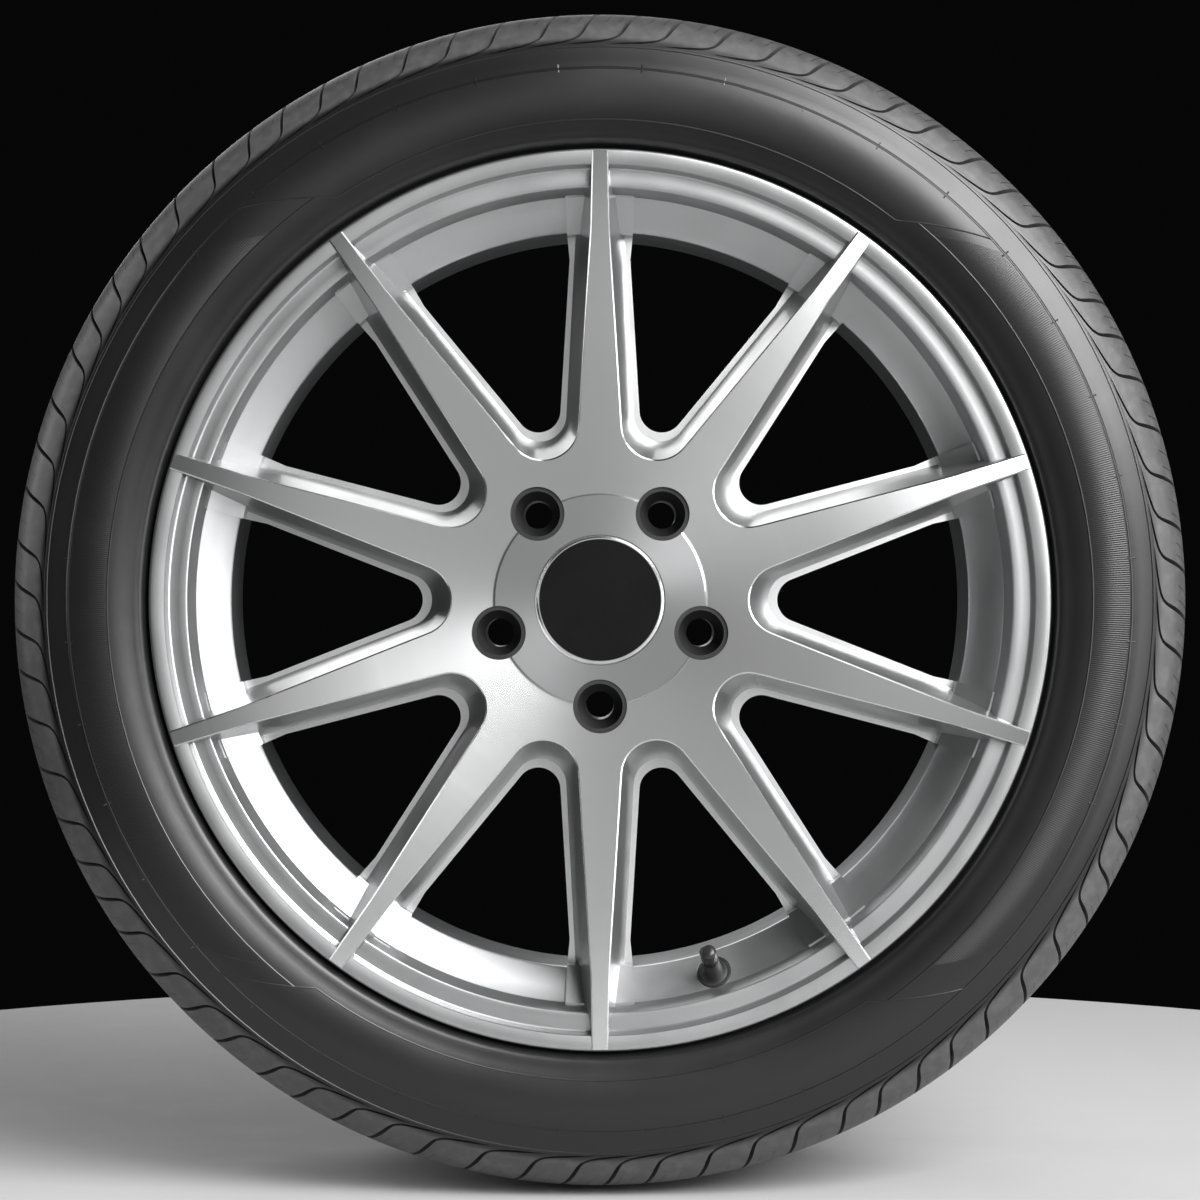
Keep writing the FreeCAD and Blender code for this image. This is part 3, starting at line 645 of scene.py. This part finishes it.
@dataclass
class Tyre:
    """The tyre's skin: ribbed tread, curved shoulder grooves, ringed sidewalls and beads."""

    finishes: Finishes
    outer_radius: float = 364.0 * MM
    half_section: float = 122.0 * MM
    tread_half_width: float = 92 * MM
    crown_drop: float = 4.6 * MM
    groove_depth: float = 7.5 * MM
    groove_half_width: float = 4.5 * MM
    groove_draft: float = 1.0 * MM
    groove_offsets: tuple[float, ...] = (18 * MM, 53 * MM)
    shoulder_groove_depth: float = 5.5 * MM
    shoulder_groove_width: float = 2.6 * MM
    shoulder_groove_draft: float = 0.4 * MM
    widest_groove: float = 17 * MM
    tread_lean: float = 4 * MM
    sweep: float = 14.0 * MM
    sweep_power: float = 0.6
    tail: float = 26.0 * MM
    tail_power: int = 12
    groove_end: float = 337.0 * MM
    widest_radius: float = 308.1 * MM
    sidewall_bow: float = 9.6e-3 / MM
    pitch_pattern: str = "SMLLMSMSLMMLS"
    pitch_repeats: int = 6
    block_columns: int = 4
    liner_rows: int = 6
    liner_radius: float = 350.2 * MM
    crease_angle: float = 32
    tail_width: float = 0.45
    tail_width_reach: float = 0.5
    tail_depth: float = 0.12
    tail_depth_reach: float = 0.45
    shoulder_tread: tuple[float, ...] = (70 * MM, 80 * MM)
    shoulder_guide: tuple[RadialPoint, ...] = (
        (358.9, -91.5), (355.6, -99.8), (350.6, -107.0), (344.0, -111.8), (340.4, -113.7),
        (337.0, -115.2), (331.0, -117.2))
    shoulder_steps: tuple[int, ...] = (2, 2, 4, 4, 3, 4, 3, 10)
    shoulder_rib: tuple[RadialPoint, ...] = (
        (336.6, -115.3), (336.2, -116.0), (334.9, -116.4), (334.4, -116.0))
    upper_rows: tuple[float, ...] = (331.0, 327.5, 325.0)
    ring: tuple[float, float, float] = (322.4 * MM, 320.8 * MM, 0.4 * MM)
    ring_slope: float = 0.3 * MM
    lower_rows: tuple[float, ...] = (
        318.0, 314.0, 310.0, 306.0, 302.0, 298.0, 294.0, 290.5, 287.5, 285.0)
    bead: tuple[RadialPoint, ...] = (
        (282.6, -116.3), (280.6, -115.7), (279.0, -115.1), (277.9, -114.1), (276.6, -111.6),
        (275.5, -107.6), (271.1, -104.3), (264.4, -101.5), (258.4, -99.7), (256.5, -95.1),
        (255.7, -85.6), (265.4, -85.6), (281.0, -104.0), (308.1, -112.9), (335.2, -98.5),
        (345.6, -78.0))

    def tread_radius(self, y: float) -> float:
        """Radius of the crowned tread at a distance across it."""
        return self.outer_radius - self.crown_drop * (y / self.tread_half_width) ** 2

    def sidewall_y(self, radius: float) -> float:
        """Distance of the front sidewall from the centre plane at a radius, negative."""
        return -self.half_section + self.sidewall_bow * (radius - self.widest_radius) ** 2

    def shift_at(self, radius: float) -> float:
        """Shift of a shoulder groove round the tyre, small at the tread edge and long at its tail.

        Args:
            radius: Distance from the axis.

        Returns:
            The shift along the ring.
        """
        edge = self.outer_radius - self.crown_drop
        share = min(max((edge - radius) / (edge - self.groove_end), 0.0), 1.0)
        return -(self.sweep * share ** self.sweep_power + self.tail * share ** self.tail_power)

    def tread_rows(self) -> list[Row]:
        """Front half of the tread.

        Returns:
            Rows from its middle to the outer main groove.
        """
        rows = []
        last = 0.0
        for offset in self.groove_offsets:
            near = offset - self.groove_half_width
            far = offset + self.groove_half_width
            floor = self.outer_radius - self.groove_depth
            rows.append(Row(self.tread_radius(last), -last))
            rows.append(Row(self.tread_radius(near), -near))
            rows.append(Row(floor, -near - self.groove_draft))
            rows.append(Row(floor, -far + self.groove_draft))
            last = far
        return rows

    def shoulder_rows(self) -> list[Row]:
        """Front shoulder.

        Returns:
            Rows from the outer main groove round the tread edge to the shoulder rib.
        """
        start = self.groove_offsets[-1] + self.groove_half_width
        before = start - 2 * self.groove_half_width
        guide = [Vector((self.tread_radius(y), -y)) for y in (before, start, *self.shoulder_tread)]
        guide += [Vector(point) * MM for point in self.shoulder_guide]
        line = []
        for index, count in enumerate(self.shoulder_steps):
            knots = guide[index:index + 4]
            line += [curve_point(knots, step / count) for step in range(count)]
        line.append(guide[-2])
        return [self.groove_row(line, index) for index in range(len(line))]

    def groove_row(self, line: list[Vector], index: int) -> Row:
        """Row of the shoulder with its groove, as wide along the row as the groove's lean asks.

        Args:
            line: Points of the shoulder from the main groove to the rib.
            index: The row's point.

        Returns:
            The row.
        """
        before = line[max(index - 1, 0)]
        after = line[min(index + 1, len(line) - 1)]
        fall = (after - before).length
        drift = abs(self.shift_at(after.x) - self.shift_at(before.x))
        radius, y = line[index]
        rest = (radius - self.groove_end) / (self.outer_radius - self.crown_drop - self.groove_end)
        taper = self.tail_width + (1 - self.tail_width) * min(1.0, max(0.0, rest) / self.tail_width_reach)
        width = taper * self.shoulder_groove_width * math.hypot(fall, drift) / fall
        sunk = min(1.0, self.tail_depth + max(0.0, rest) / self.tail_depth_reach)
        depth = 0.0 if index == len(line) - 1 else self.shoulder_groove_depth * sunk
        inboard = max(0.0, self.tread_half_width + y) / self.tread_half_width
        shift = self.shift_at(radius) + self.tread_lean * inboard
        return Row(radius, y, depth, shift, min(width, self.widest_groove))

    def raised(self, outer: float, inner: float, height: float) -> list[Row]:
        """A raised ring on the sidewall.

        Args:
            outer: Its outer radius.
            inner: Its inner radius.
            height: Its height above the sidewall.

        Returns:
            Rows from its outer to its inner edge.
        """
        slope = self.ring_slope
        return [
            Row(outer, self.sidewall_y(outer)),
            Row(outer - slope, self.sidewall_y(outer) - height),
            Row(inner + slope, self.sidewall_y(inner) - height),
            Row(inner, self.sidewall_y(inner)),
        ]

    def sidewall_rows(self) -> list[Row]:
        """Front sidewall.

        Returns:
            Rows from the shoulder rib over the raised ring to the rim protector.
        """
        rows = [Row(r, y) for r, y in millimetres(self.shoulder_rib)]
        rows += [Row(r * MM, self.sidewall_y(r * MM)) for r in self.upper_rows]
        rows += self.raised(*self.ring)
        return rows + [Row(r * MM, self.sidewall_y(r * MM)) for r in self.lower_rows]

    def bead_rows(self) -> list[Row]:
        """Rim protector, crevice at the rim's lip, bead and inner liner of the front half."""
        return [Row(r, y) for r, y in millimetres(self.bead)]

    def rows(self) -> list[Row]:
        """Every row of the skin.

        Returns:
            Rows once round the section, from the tread's middle by the front.
        """
        shoulder = self.shoulder_rows()
        last = shoulder[-1]
        plain = self.sidewall_rows() + self.bead_rows()
        unwind = np.clip((len(plain) - np.arange(len(plain))) / self.liner_rows, 0.0, 1.0)
        rest = [Row(row.radius, row.y, 0.0, last.shift * share * row.radius / last.radius, last.width)
                for row, share in zip(plain, unwind)]
        front = self.tread_rows() + shoulder + rest
        liner = Row(self.liner_radius, 0.0)
        back = [Row(row.radius, -row.y, row.depth, -row.shift, row.width) for row in reversed(front[1:])]
        return front + [liner] + back + front[:1]

    def pitch_starts(self) -> np.ndarray:
        """Start angle of every tread pitch, with the end of the last one."""
        steps = [PITCH_LENGTHS[letter] for letter in self.pitch_pattern * self.pitch_repeats]
        return np.concatenate(([0.0], np.cumsum(steps))) * 2 * math.pi / sum(steps)

    def inward(self, rows: list[Row]) -> np.ndarray:
        """Unit direction into the rubber at each row.

        Args:
            rows: The section's rows.

        Returns:
            Pairs (radius, y).
        """
        line = np.array([(row.radius, row.y) for row in rows])
        along = np.roll(line, -1, axis=0) - np.roll(line, 1, axis=0)
        along /= np.linalg.norm(along, axis=1)[:, None]
        return np.stack((along[:, 1], -along[:, 0]), axis=1)

    def skin_points(self, rows: list[Row]) -> np.ndarray:
        """Places of the skin's points, one row of the array for each row of the section.

        Args:
            rows: The section's rows.

        Returns:
            An array of rows, columns and x, y, z. The last column closes the ring.
        """
        starts = self.pitch_starts()
        blocks = np.arange(1, self.block_columns + 1) / (self.block_columns + 1)
        inward = self.inward(rows)
        lines = []
        for row, into in zip(rows, inward):
            half = row.width / 2 / row.radius
            floor = half - min(self.shoulder_groove_draft, row.width / 4) / row.radius
            angles = []
            depths = []
            for start, end in zip(starts[:-1], starts[1:]):
                left = start + half
                right = end - half
                angles += [start - half, start - floor, start + floor, left]
                angles += list(left + (right - left) * blocks)
                depths += [0.0, row.depth, row.depth, 0.0] + [0.0] * self.block_columns
            angles.append(starts[-1] - half)
            depths.append(0.0)
            turn = np.array(angles) + row.shift / row.radius
            radius = row.radius + into[0] * np.array(depths)
            y = row.y + into[1] * np.array(depths)
            lines.append(np.stack((radius * np.sin(turn), y, radius * np.cos(turn)), axis=1))
        return np.array(lines)

    def build(self) -> None:
        """Model the skin as a grid wrapped round the tyre."""
        rows = self.rows()
        places = self.skin_points(rows)
        down, across = places.shape[0] - 1, places.shape[1] - 1
        bpy.ops.mesh.primitive_grid_add(x_subdivisions=across, y_subdivisions=down, size=2, calc_uvs=True)
        piece = fresh_piece("tyre_skin")
        piece.data.uv_layers[0].name = "skin"
        flat = triples(piece.data.vertices, "co")
        column = np.rint((flat[:, 0] + 1) / 2 * across).astype(int)
        line = np.rint((flat[:, 1] + 1) / 2 * down).astype(int)
        piece.data.vertices.foreach_set("co", places[line, column].ravel())
        piece.data.update()
        weld(piece)
        smooth(piece, self.crease_angle)
        piece.data.materials.append(self.finishes.rubber)
        hand_in(piece, WHEEL_BODY, "tyre_rubber", "tyre")


@dataclass
class SidewallMarks:
    """Raised lines moulded on the sidewalls: panel outlines and short vent ticks, with no words."""

    tyre: Tyre
    line_radius: float = 0.62 * MM
    sink: float = 0.22 * MM
    side_inner: float = 297.6 * MM
    corners: tuple[float, ...] = (-33.1, 37.9, 146.4, 216.2)
    tick_step: float = 9.0
    tick_inner: float = 319.2 * MM
    tick_outer: float = 324.2 * MM
    arc_step: float = 2.5
    crease_angle: float = 50

    def place(self, radius: float, angle_deg: float, side: Side) -> Vector:
        """Point just under the sidewall's skin.

        Args:
            radius: Distance from the axis.
            angle_deg: Angle from the top, clockwise as that side is seen.
            side: The sidewall.

        Returns:
            The point.
        """
        turn = math.radians(angle_deg)
        y = self.tyre.sidewall_y(radius) + self.sink
        point = Vector((radius * math.sin(turn), y, radius * math.cos(turn)))
        if side is Side.BACK:
            point.rotate(Matrix.Rotation(math.pi, 3, "Z"))
        return point

    def arc(self, radius: float, start: float, end: float) -> list[RadialPoint]:
        """Points along an arc at one radius."""
        count = max(2, round((end - start) / self.arc_step))
        return self.slope((radius, start), (radius, end), count)

    def slope(self, start: RadialPoint, end: RadialPoint, count: int = 12) -> list[RadialPoint]:
        """Points from one (radius, angle) to another, close enough to follow the skin."""
        shares = [k / count for k in range(count + 1)]
        return [(start[0] + (end[0] - start[0]) * s, start[1] + (end[1] - start[1]) * s) for s in shares]

    def lines(self) -> list[list[RadialPoint]]:
        """Every raised line of one side.

        Returns:
            Lists of (radius, angle) points.
        """
        top_left, top_right, low_right, low_left = self.corners
        lean = PANEL_LEAN_DEG
        part = lean * (self.side_inner - PANEL_INNER) / (PANEL_OUTER - PANEL_INNER)
        made = []
        for start, end in ((top_left, top_right), (low_right, low_left)):
            made.append(self.slope((PANEL_OUTER, start - lean), (PANEL_INNER, start))
                        + self.arc(PANEL_INNER, start, end)[1:-1]
                        + self.slope((PANEL_INNER, end), (PANEL_OUTER, end + lean)))
        made.append(self.arc(self.side_inner, top_right + part, low_right - part))
        made.append(self.arc(self.side_inner, low_left + part, 360 + top_left - part))
        for index in range(round(360 / self.tick_step)):
            angle = (index + 0.5) * self.tick_step
            made.append([(self.tick_inner, angle), (self.tick_outer, angle)])
        return made

    def build(self) -> None:
        """Model the lines as thin half-sunk beads and make them a mesh."""
        curve = bpy.data.curves.new("sidewall_marks", "CURVE")
        curve.dimensions = "3D"
        curve.bevel_depth = self.line_radius
        curve.bevel_resolution = 1
        curve.use_fill_caps = True
        for side in Side:
            for line in self.lines():
                spline = curve.splines.new("POLY")
                spline.points.add(len(line) - 1)
                for knot, (radius, angle) in zip(spline.points, line):
                    knot.co = (*self.place(radius, angle, side), 1.0)
        piece = bpy.data.objects.new("sidewall_marks", curve)
        bpy.context.scene.collection.objects.link(piece)
        pick(piece)
        bpy.ops.object.convert(target="MESH")
        piece = fresh_piece("sidewall_marks")
        weld(piece)
        smooth(piece, self.crease_angle)
        piece.data.materials.append(self.tyre.finishes.rubber)
        hand_in(piece, WHEEL_BODY, "tyre_rubber")


# Wheel

@dataclass
class AlloyWheel:
    """The casting's spokes and hub: painted all over, with a face turned bright on the lathe, a painted
    highlight on the ledges and painted shade on the back.
    """

    finishes: Finishes
    nodes: tuple[str, ...] = ("wheel_spokes", "wheel_hub")
    pad_y: float = -100 * MM
    tip_radius: float = 272.5 * MM
    tip_y: float = -114 * MM
    chamfer: float = 0.75 * MM
    ledge_y: float = -62 * MM
    ledge_range: float = 0.3 * MM
    back_y: float = -52 * MM
    facing: float = 0.5
    flat: float = 0.9

    def turned_y(self, radius: np.ndarray) -> np.ndarray:
        """Depth of the turned face at each radius."""
        share = np.maximum(0.0, radius - PAD_RADIUS) / (self.tip_radius - PAD_RADIUS)
        return self.pad_y + (self.tip_y - self.pad_y) * share

    def dress(self, piece: Piece) -> None:
        """Give each face its finish by its place and the way that it faces: the ledges' bright paint is a
        painted highlight and the back's dark paint is painted shade.

        Args:
            piece: The casting.
        """
        mesh = piece.data
        finishes = self.finishes
        for material in (finishes.paint, finishes.turned, finishes.barrel, finishes.lit_ledge):
            mesh.materials.append(material)
        centres = triples(mesh.polygons, "center")
        across = triples(mesh.polygons, "normal")[:, 1]
        radius = np.hypot(centres[:, 0], centres[:, 2])
        depth = centres[:, 1] - self.turned_y(radius)
        on_face = (np.abs(depth) < self.chamfer) & (across < -self.facing) & (radius < self.tip_radius)
        # The spokes' flat ledges take the bright copy of the paint: painted highlight.
        on_highlight_ledge = (np.abs(centres[:, 1] - self.ledge_y) < self.ledge_range) & (across < -self.flat)
        finish = np.full(len(mesh.polygons), CastFinish.PAINT.value, dtype=np.int32)
        # Faces at the back that don't face the front take the dark copy of the paint: painted shade.
        finish[(centres[:, 1] > self.back_y) & (across < self.facing)] = CastFinish.BARREL.value
        finish[on_highlight_ledge] = CastFinish.LEDGE.value
        finish[on_face] = CastFinish.TURNED.value
        mesh.polygons.foreach_set("material_index", finish)
        mesh.update()

    def build(self) -> None:
        """Copy the casting's solids as one welded piece and dress it."""
        piece = copied("wheel_casting", *self.nodes)
        self.dress(piece)
        hand_in(piece, WHEEL_BODY, "turned_alloy", *self.nodes)


@dataclass
class Rim:
    """The rim, turned from its section: lip, level cove, sloping band, well and barrel."""

    finishes: Finishes
    steps: int = 360
    lip_radius: float = 272.0 * MM
    lip_round: float = 1.9 * MM
    lip_y: float = -111.1 * MM
    flange_curve: float = 9.5 * MM
    flange_centre: float = 264.4 * MM
    barrel_from: float = -71 * MM
    valve_spot: float = 10.8 * MM
    valve_hole: float = 5.75 * MM
    valve_reach: float = 12 * MM
    arc_step: int = 15
    bore_facets: int = 64
    crease_angle: float = 28
    front: tuple[RadialPoint, ...] = (
        (228.0, -72.0), (228.3, -73.4), (229.2, -74.4), (240.0, -81.8), (247.6, -87.0),
        (248.2, -87.6), (248.5, -88.6), (251.2, -103.0), (251.5, -104.1), (252.2, -104.7),
        (253.2, -104.9), (256.5, -104.85), (260.2, -104.75), (261.9, -104.9),
        (262.8, -105.6), (263.3, -107.0), (263.9, -111.0), (264.6, -112.1), (267.3, -112.7), (270.0, -112.95))
    seat: tuple[RadialPoint, ...] = (
        (258.3, -99.7), (256.4, -95.1), (255.4, -83.1), (256.3, -81.1), (255.4, -78.6), (234.0, -62.0),
        (234.0, -20.0), (255.4, 12.0), (255.4, 78.6), (256.3, 81.1), (255.4, 83.1), (256.4, 95.1),
        (258.3, 99.7))
    back: tuple[RadialPoint, ...] = (
        (263.4, 113.0), (251.9, 103.6), (248.9, 91.6), (248.9, 14.0), (228.0, -18.0))

    def flange(self, side: Side) -> list[RadialPoint]:
        """Rounded lip and flange curve of one side.

        Args:
            side: The side.

        Returns:
            Points on the way from the front of the section to its back.
        """
        turns = [math.radians(degrees) for degrees in range(0, 91, self.arc_step)]
        line = [(self.lip_radius + self.lip_round * math.sin(turn),
                 self.lip_y - self.lip_round * math.cos(turn)) for turn in turns]
        line += [(self.flange_centre + self.flange_curve * math.cos(turn),
                  self.lip_y + self.flange_curve * math.sin(turn)) for turn in turns[1:]]
        line = [(radius, -side.value * y) for radius, y in line]
        return line if side is Side.FRONT else line[::-1]

    def section(self) -> list[RadialPoint]:
        """Closed section of the rim, from the sloping band over the lip and along the tyre side."""
        front, seat, back = map(millimetres, (self.front, self.seat, self.back))
        return front + self.flange(Side.FRONT) + seat + self.flange(Side.BACK) + back

    def bore(self, piece: Piece, radius: float, start: float, end: float) -> None:
        """Cut a round hole along the valve's axis.

        Args:
            piece: The rim.
            radius: The hole's radius.
            start: Where the cut begins along the axis, from the valve's seat.
            end: Where it ends.
        """
        bpy.ops.mesh.primitive_cylinder_add(
            vertices=self.bore_facets, radius=radius, depth=end - start,
            location=VALVE_SEAT + VALVE_AXIS * (start + end) / 2,
            rotation=VALVE_AXIS.to_track_quat("Z", "Y").to_euler())
        tool = fresh_piece("valve_bore")
        cut = piece.modifiers.new("valve_bore", "BOOLEAN")
        cut.operation = "DIFFERENCE"
        cut.object = tool
        pick(piece)
        bpy.ops.object.modifier_apply(modifier=cut.name)
        bpy.data.objects.remove(tool)

    def build(self) -> None:
        """Turn the section about the axle and cut the valve's seat and hole."""
        piece = turned_piece("rim_turned", self.section(), self.steps)
        self.bore(piece, self.valve_spot, 0.0, self.valve_reach)
        self.bore(piece, self.valve_hole, -self.valve_reach, self.valve_reach)
        smooth(piece, self.crease_angle)
        # The second material, for faces behind barrel_from, is a dark copy of the paint: painted shade.
        for material in (self.finishes.paint, self.finishes.barrel):
            piece.data.materials.append(material)
        centres = triples(piece.data.polygons, "center")
        piece.data.polygons.foreach_set("material_index", (centres[:, 1] > self.barrel_from).astype(np.int32))
        hand_in(piece, WHEEL_BODY, "turned_alloy", "wheel_rim")


@dataclass
class Valve:
    """The valve's outside, turned about its own axis: the flanged rubber body and the domed cap."""

    finishes: Finishes
    steps: int = 72
    body: tuple[RadialPoint, ...] = (
        (3.87, -14.0), (6.8, -14.0), (9.2, -7.0), (9.2, -5.0), (5.7, -5.0), (5.7, 0.0), (10.1, 0.0),
        (10.3, 0.3), (10.3, 1.1), (10.0, 1.45), (9.3, 1.5), (8.9, 1.2), (8.3, 1.2), (7.7, 1.6), (7.0, 2.6),
        (6.2, 4.0), (5.75, 5.4), (5.1, 17.0), (3.87, 17.0))
    cap: tuple[RadialPoint, ...] = (
        (3.95, 17.4), (5.0, 17.4), (5.2, 17.7), (5.2, 27.3), (5.0, 28.6), (4.4, 29.6), (3.3, 30.25),
        (1.7, 30.53), (0.0, 30.6), (0.0, 28.6), (3.95, 28.6))
    spring_foot: float = 22.0 * MM
    spring_pressed: float = 0.64
    crease_angle: float = 35

    def turn(self, name: str, section: tuple[RadialPoint, ...], material: bpy.types.Material) -> Piece:
        """Turn one section about the valve's axis, in its place on the rim.

        Args:
            name: The piece's name.
            section: Points (radius, height above the seat) once round, in millimetres.
            material: The piece's finish.

        Returns:
            The turned piece.
        """
        piece = turned_piece(name, millimetres(section), self.steps)
        piece.location = VALVE_SEAT
        piece.rotation_euler = VALVE_AXIS.to_track_quat("Y", "Z").to_euler()
        settle(piece)
        smooth(piece, self.crease_angle)
        piece.data.materials.append(material)
        return piece

    def add_spring(self) -> None:
        """Copy the core's spring."""
        piece = copied("valve_core_spring", "valve_spring")
        piece.data.materials.append(self.finishes.spring)
        hand_in(piece, WHEEL_BODY, "spring_steel", "valve_spring")
        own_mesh(piece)

    def build(self) -> None:
        """Turn the body and the cap, and add the spring inside."""
        hand_in(self.turn("valve_rubber_body", self.body, self.finishes.valve), WHEEL_BODY, "valve_rubber",
                "valve_body")
        hand_in(self.turn("valve_dust_cap", self.cap, self.finishes.dust_cap), "valve_cap", "cap_plastic",
                "valve_cap")
        self.add_spring()


@dataclass
class SmallParts:
    """Pieces that keep their solids and take a finish: the centre cap, lug seats and the valve's core."""

    finishes: Finishes
    lug_count: int = 5

    def dress(self) -> None:
        """Put each finish on its solids."""
        f = self.finishes
        finish_of = {
            "centre_cap": f.cap_rim,
            "cap_disc": f.cap_face,
            "cap_spring_ring": f.spring,
            "valve_tube": f.brass,
            "valve_core_plug": f.brass,
            "valve_core_gasket": f.seal,
            "valve_pin": f.brass,
            "valve_pin_seal": f.seal,
            "valve_cap_seal": f.seal,
        }
        for number in range(1, self.lug_count + 1):
            finish_of[f"lug_seat_insert_{number}"] = f.seat
        for node, material in finish_of.items():
            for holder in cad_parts[node].material_slots:
                holder.material = material
            log.info("%s: %s", node, material.name)


# Studio

@dataclass(frozen=True)
class Lamp:
    """A soft panel of light, aimed at the wheel's centre."""

    name: str
    place: tuple[float, float, float]
    size: tuple[float, float]
    radiance: float

    def hang(self) -> None:
        """Add the panel. Its power follows from its area and how bright it looks."""
        data = bpy.data.lights.new(self.name, "AREA")
        data.shape = "RECTANGLE"
        data.size, data.size_y = self.size
        data.energy = self.radiance * math.pi * self.size[0] * self.size[1]
        lamp = bpy.data.objects.new(self.name, data)
        lamp.location = self.place
        lamp.rotation_euler = (-Vector(self.place)).to_track_quat("-Z", "Y").to_euler()
        lamp.visible_camera = False
        bpy.context.scene.collection.objects.link(lamp)


@dataclass
class Studio:
    """Pale floor, soft panels, a dark surround and the camera in front of the wheel."""

    floor_radius: float = 0.9
    floor_z: float = -364.2 * MM
    floor_facets: int = 128
    floor_finish: PlainFinish = PlainFinish(
        "pale_floor", (0.52, 0.52, 0.52), 0.8, grain=40.0, variation=0.02, specular=0.1)
    surround: float = 0.002
    ambient: float = 0.03
    lens: float = 89.1
    sensor: float = 36.0
    camera_place: tuple[float, float, float] = (0.0, -1.913, 0.0)
    lamps: tuple[Lamp, ...] = (
        Lamp("front_panel", (0.25, -3.4, 0.15), (1.8, 2.0), 0.46),
        Lamp("key_panel", (1.45, -1.75, 1.3), (2.0, 1.5), 14.0),
        Lamp("streak_panel", (0.95, -2.30, 0.34), (0.35, 0.35), 16.5),
        Lamp("left_panel", (-2.1, 0.1, 0.7), (1.2, 1.6), 3.2),
        Lamp("right_panel", (2.0, -0.9, -0.1), (1.2, 1.4), 3.6),
        Lamp("top_panel", (0.8, -0.9, 1.75), (1.2, 1.0), 2.0),
        Lamp("back_panel", (-0.6, 2.2, 1.2), (1.6, 1.2), 2.6),
    )

    def lay_floor(self) -> None:
        """Round pale floor under the tyre."""
        bpy.ops.mesh.primitive_circle_add(vertices=self.floor_facets, radius=self.floor_radius,
                                          fill_type="NGON", location=(0.0, 0.0, self.floor_z))
        floor = fresh_piece("floor")
        settle(floor)
        floor.data.materials.append(self.floor_finish.make())

    def light(self) -> None:
        """Hang the panels and set the surround: dark to the eye, with a little light for the metal."""
        for lamp in self.lamps:
            lamp.hang()
        world = bpy.data.worlds.new("surround")
        world.use_nodes = True
        tree = world.node_tree
        mix = tree.nodes.new("ShaderNodeMixRGB")
        mix.inputs["Color1"].default_value = grey(self.ambient)
        mix.inputs["Color2"].default_value = grey(self.surround)
        path = tree.nodes.new("ShaderNodeLightPath")
        tree.links.new(path.outputs["Is Camera Ray"], mix.inputs["Fac"])
        tree.links.new(mix.outputs["Color"], tree.nodes["Background"].inputs["Color"])
        bpy.context.scene.world = world

    def set_camera(self) -> None:
        """Camera on the wheel's axis, square to its face."""
        data = bpy.data.cameras.new("camera")
        data.lens = self.lens
        data.sensor_width = self.sensor
        camera = bpy.data.objects.new("camera", data)
        camera.location = self.camera_place
        camera.rotation_euler = (math.pi / 2, 0.0, 0.0)
        bpy.context.scene.collection.objects.link(camera)
        bpy.context.scene.camera = camera

    def build(self) -> None:
        """Set up the whole studio."""
        bpy.context.scene.view_settings.view_transform = "Standard"
        self.lay_floor()
        self.light()
        self.set_camera()


def main() -> None:
    """Build and dress the wheel, then the studio."""
    logging.basicConfig(level=logging.INFO, format="%(message)s")
    finishes = Finishes()
    tyre = Tyre(finishes)
    tyre.build()
    SidewallMarks(tyre).build()
    Rim(finishes).build()
    AlloyWheel(finishes).build()
    Valve(finishes).build()
    SmallParts(finishes).dress()
    Studio().build()


if __name__ == "__main__":
    main()
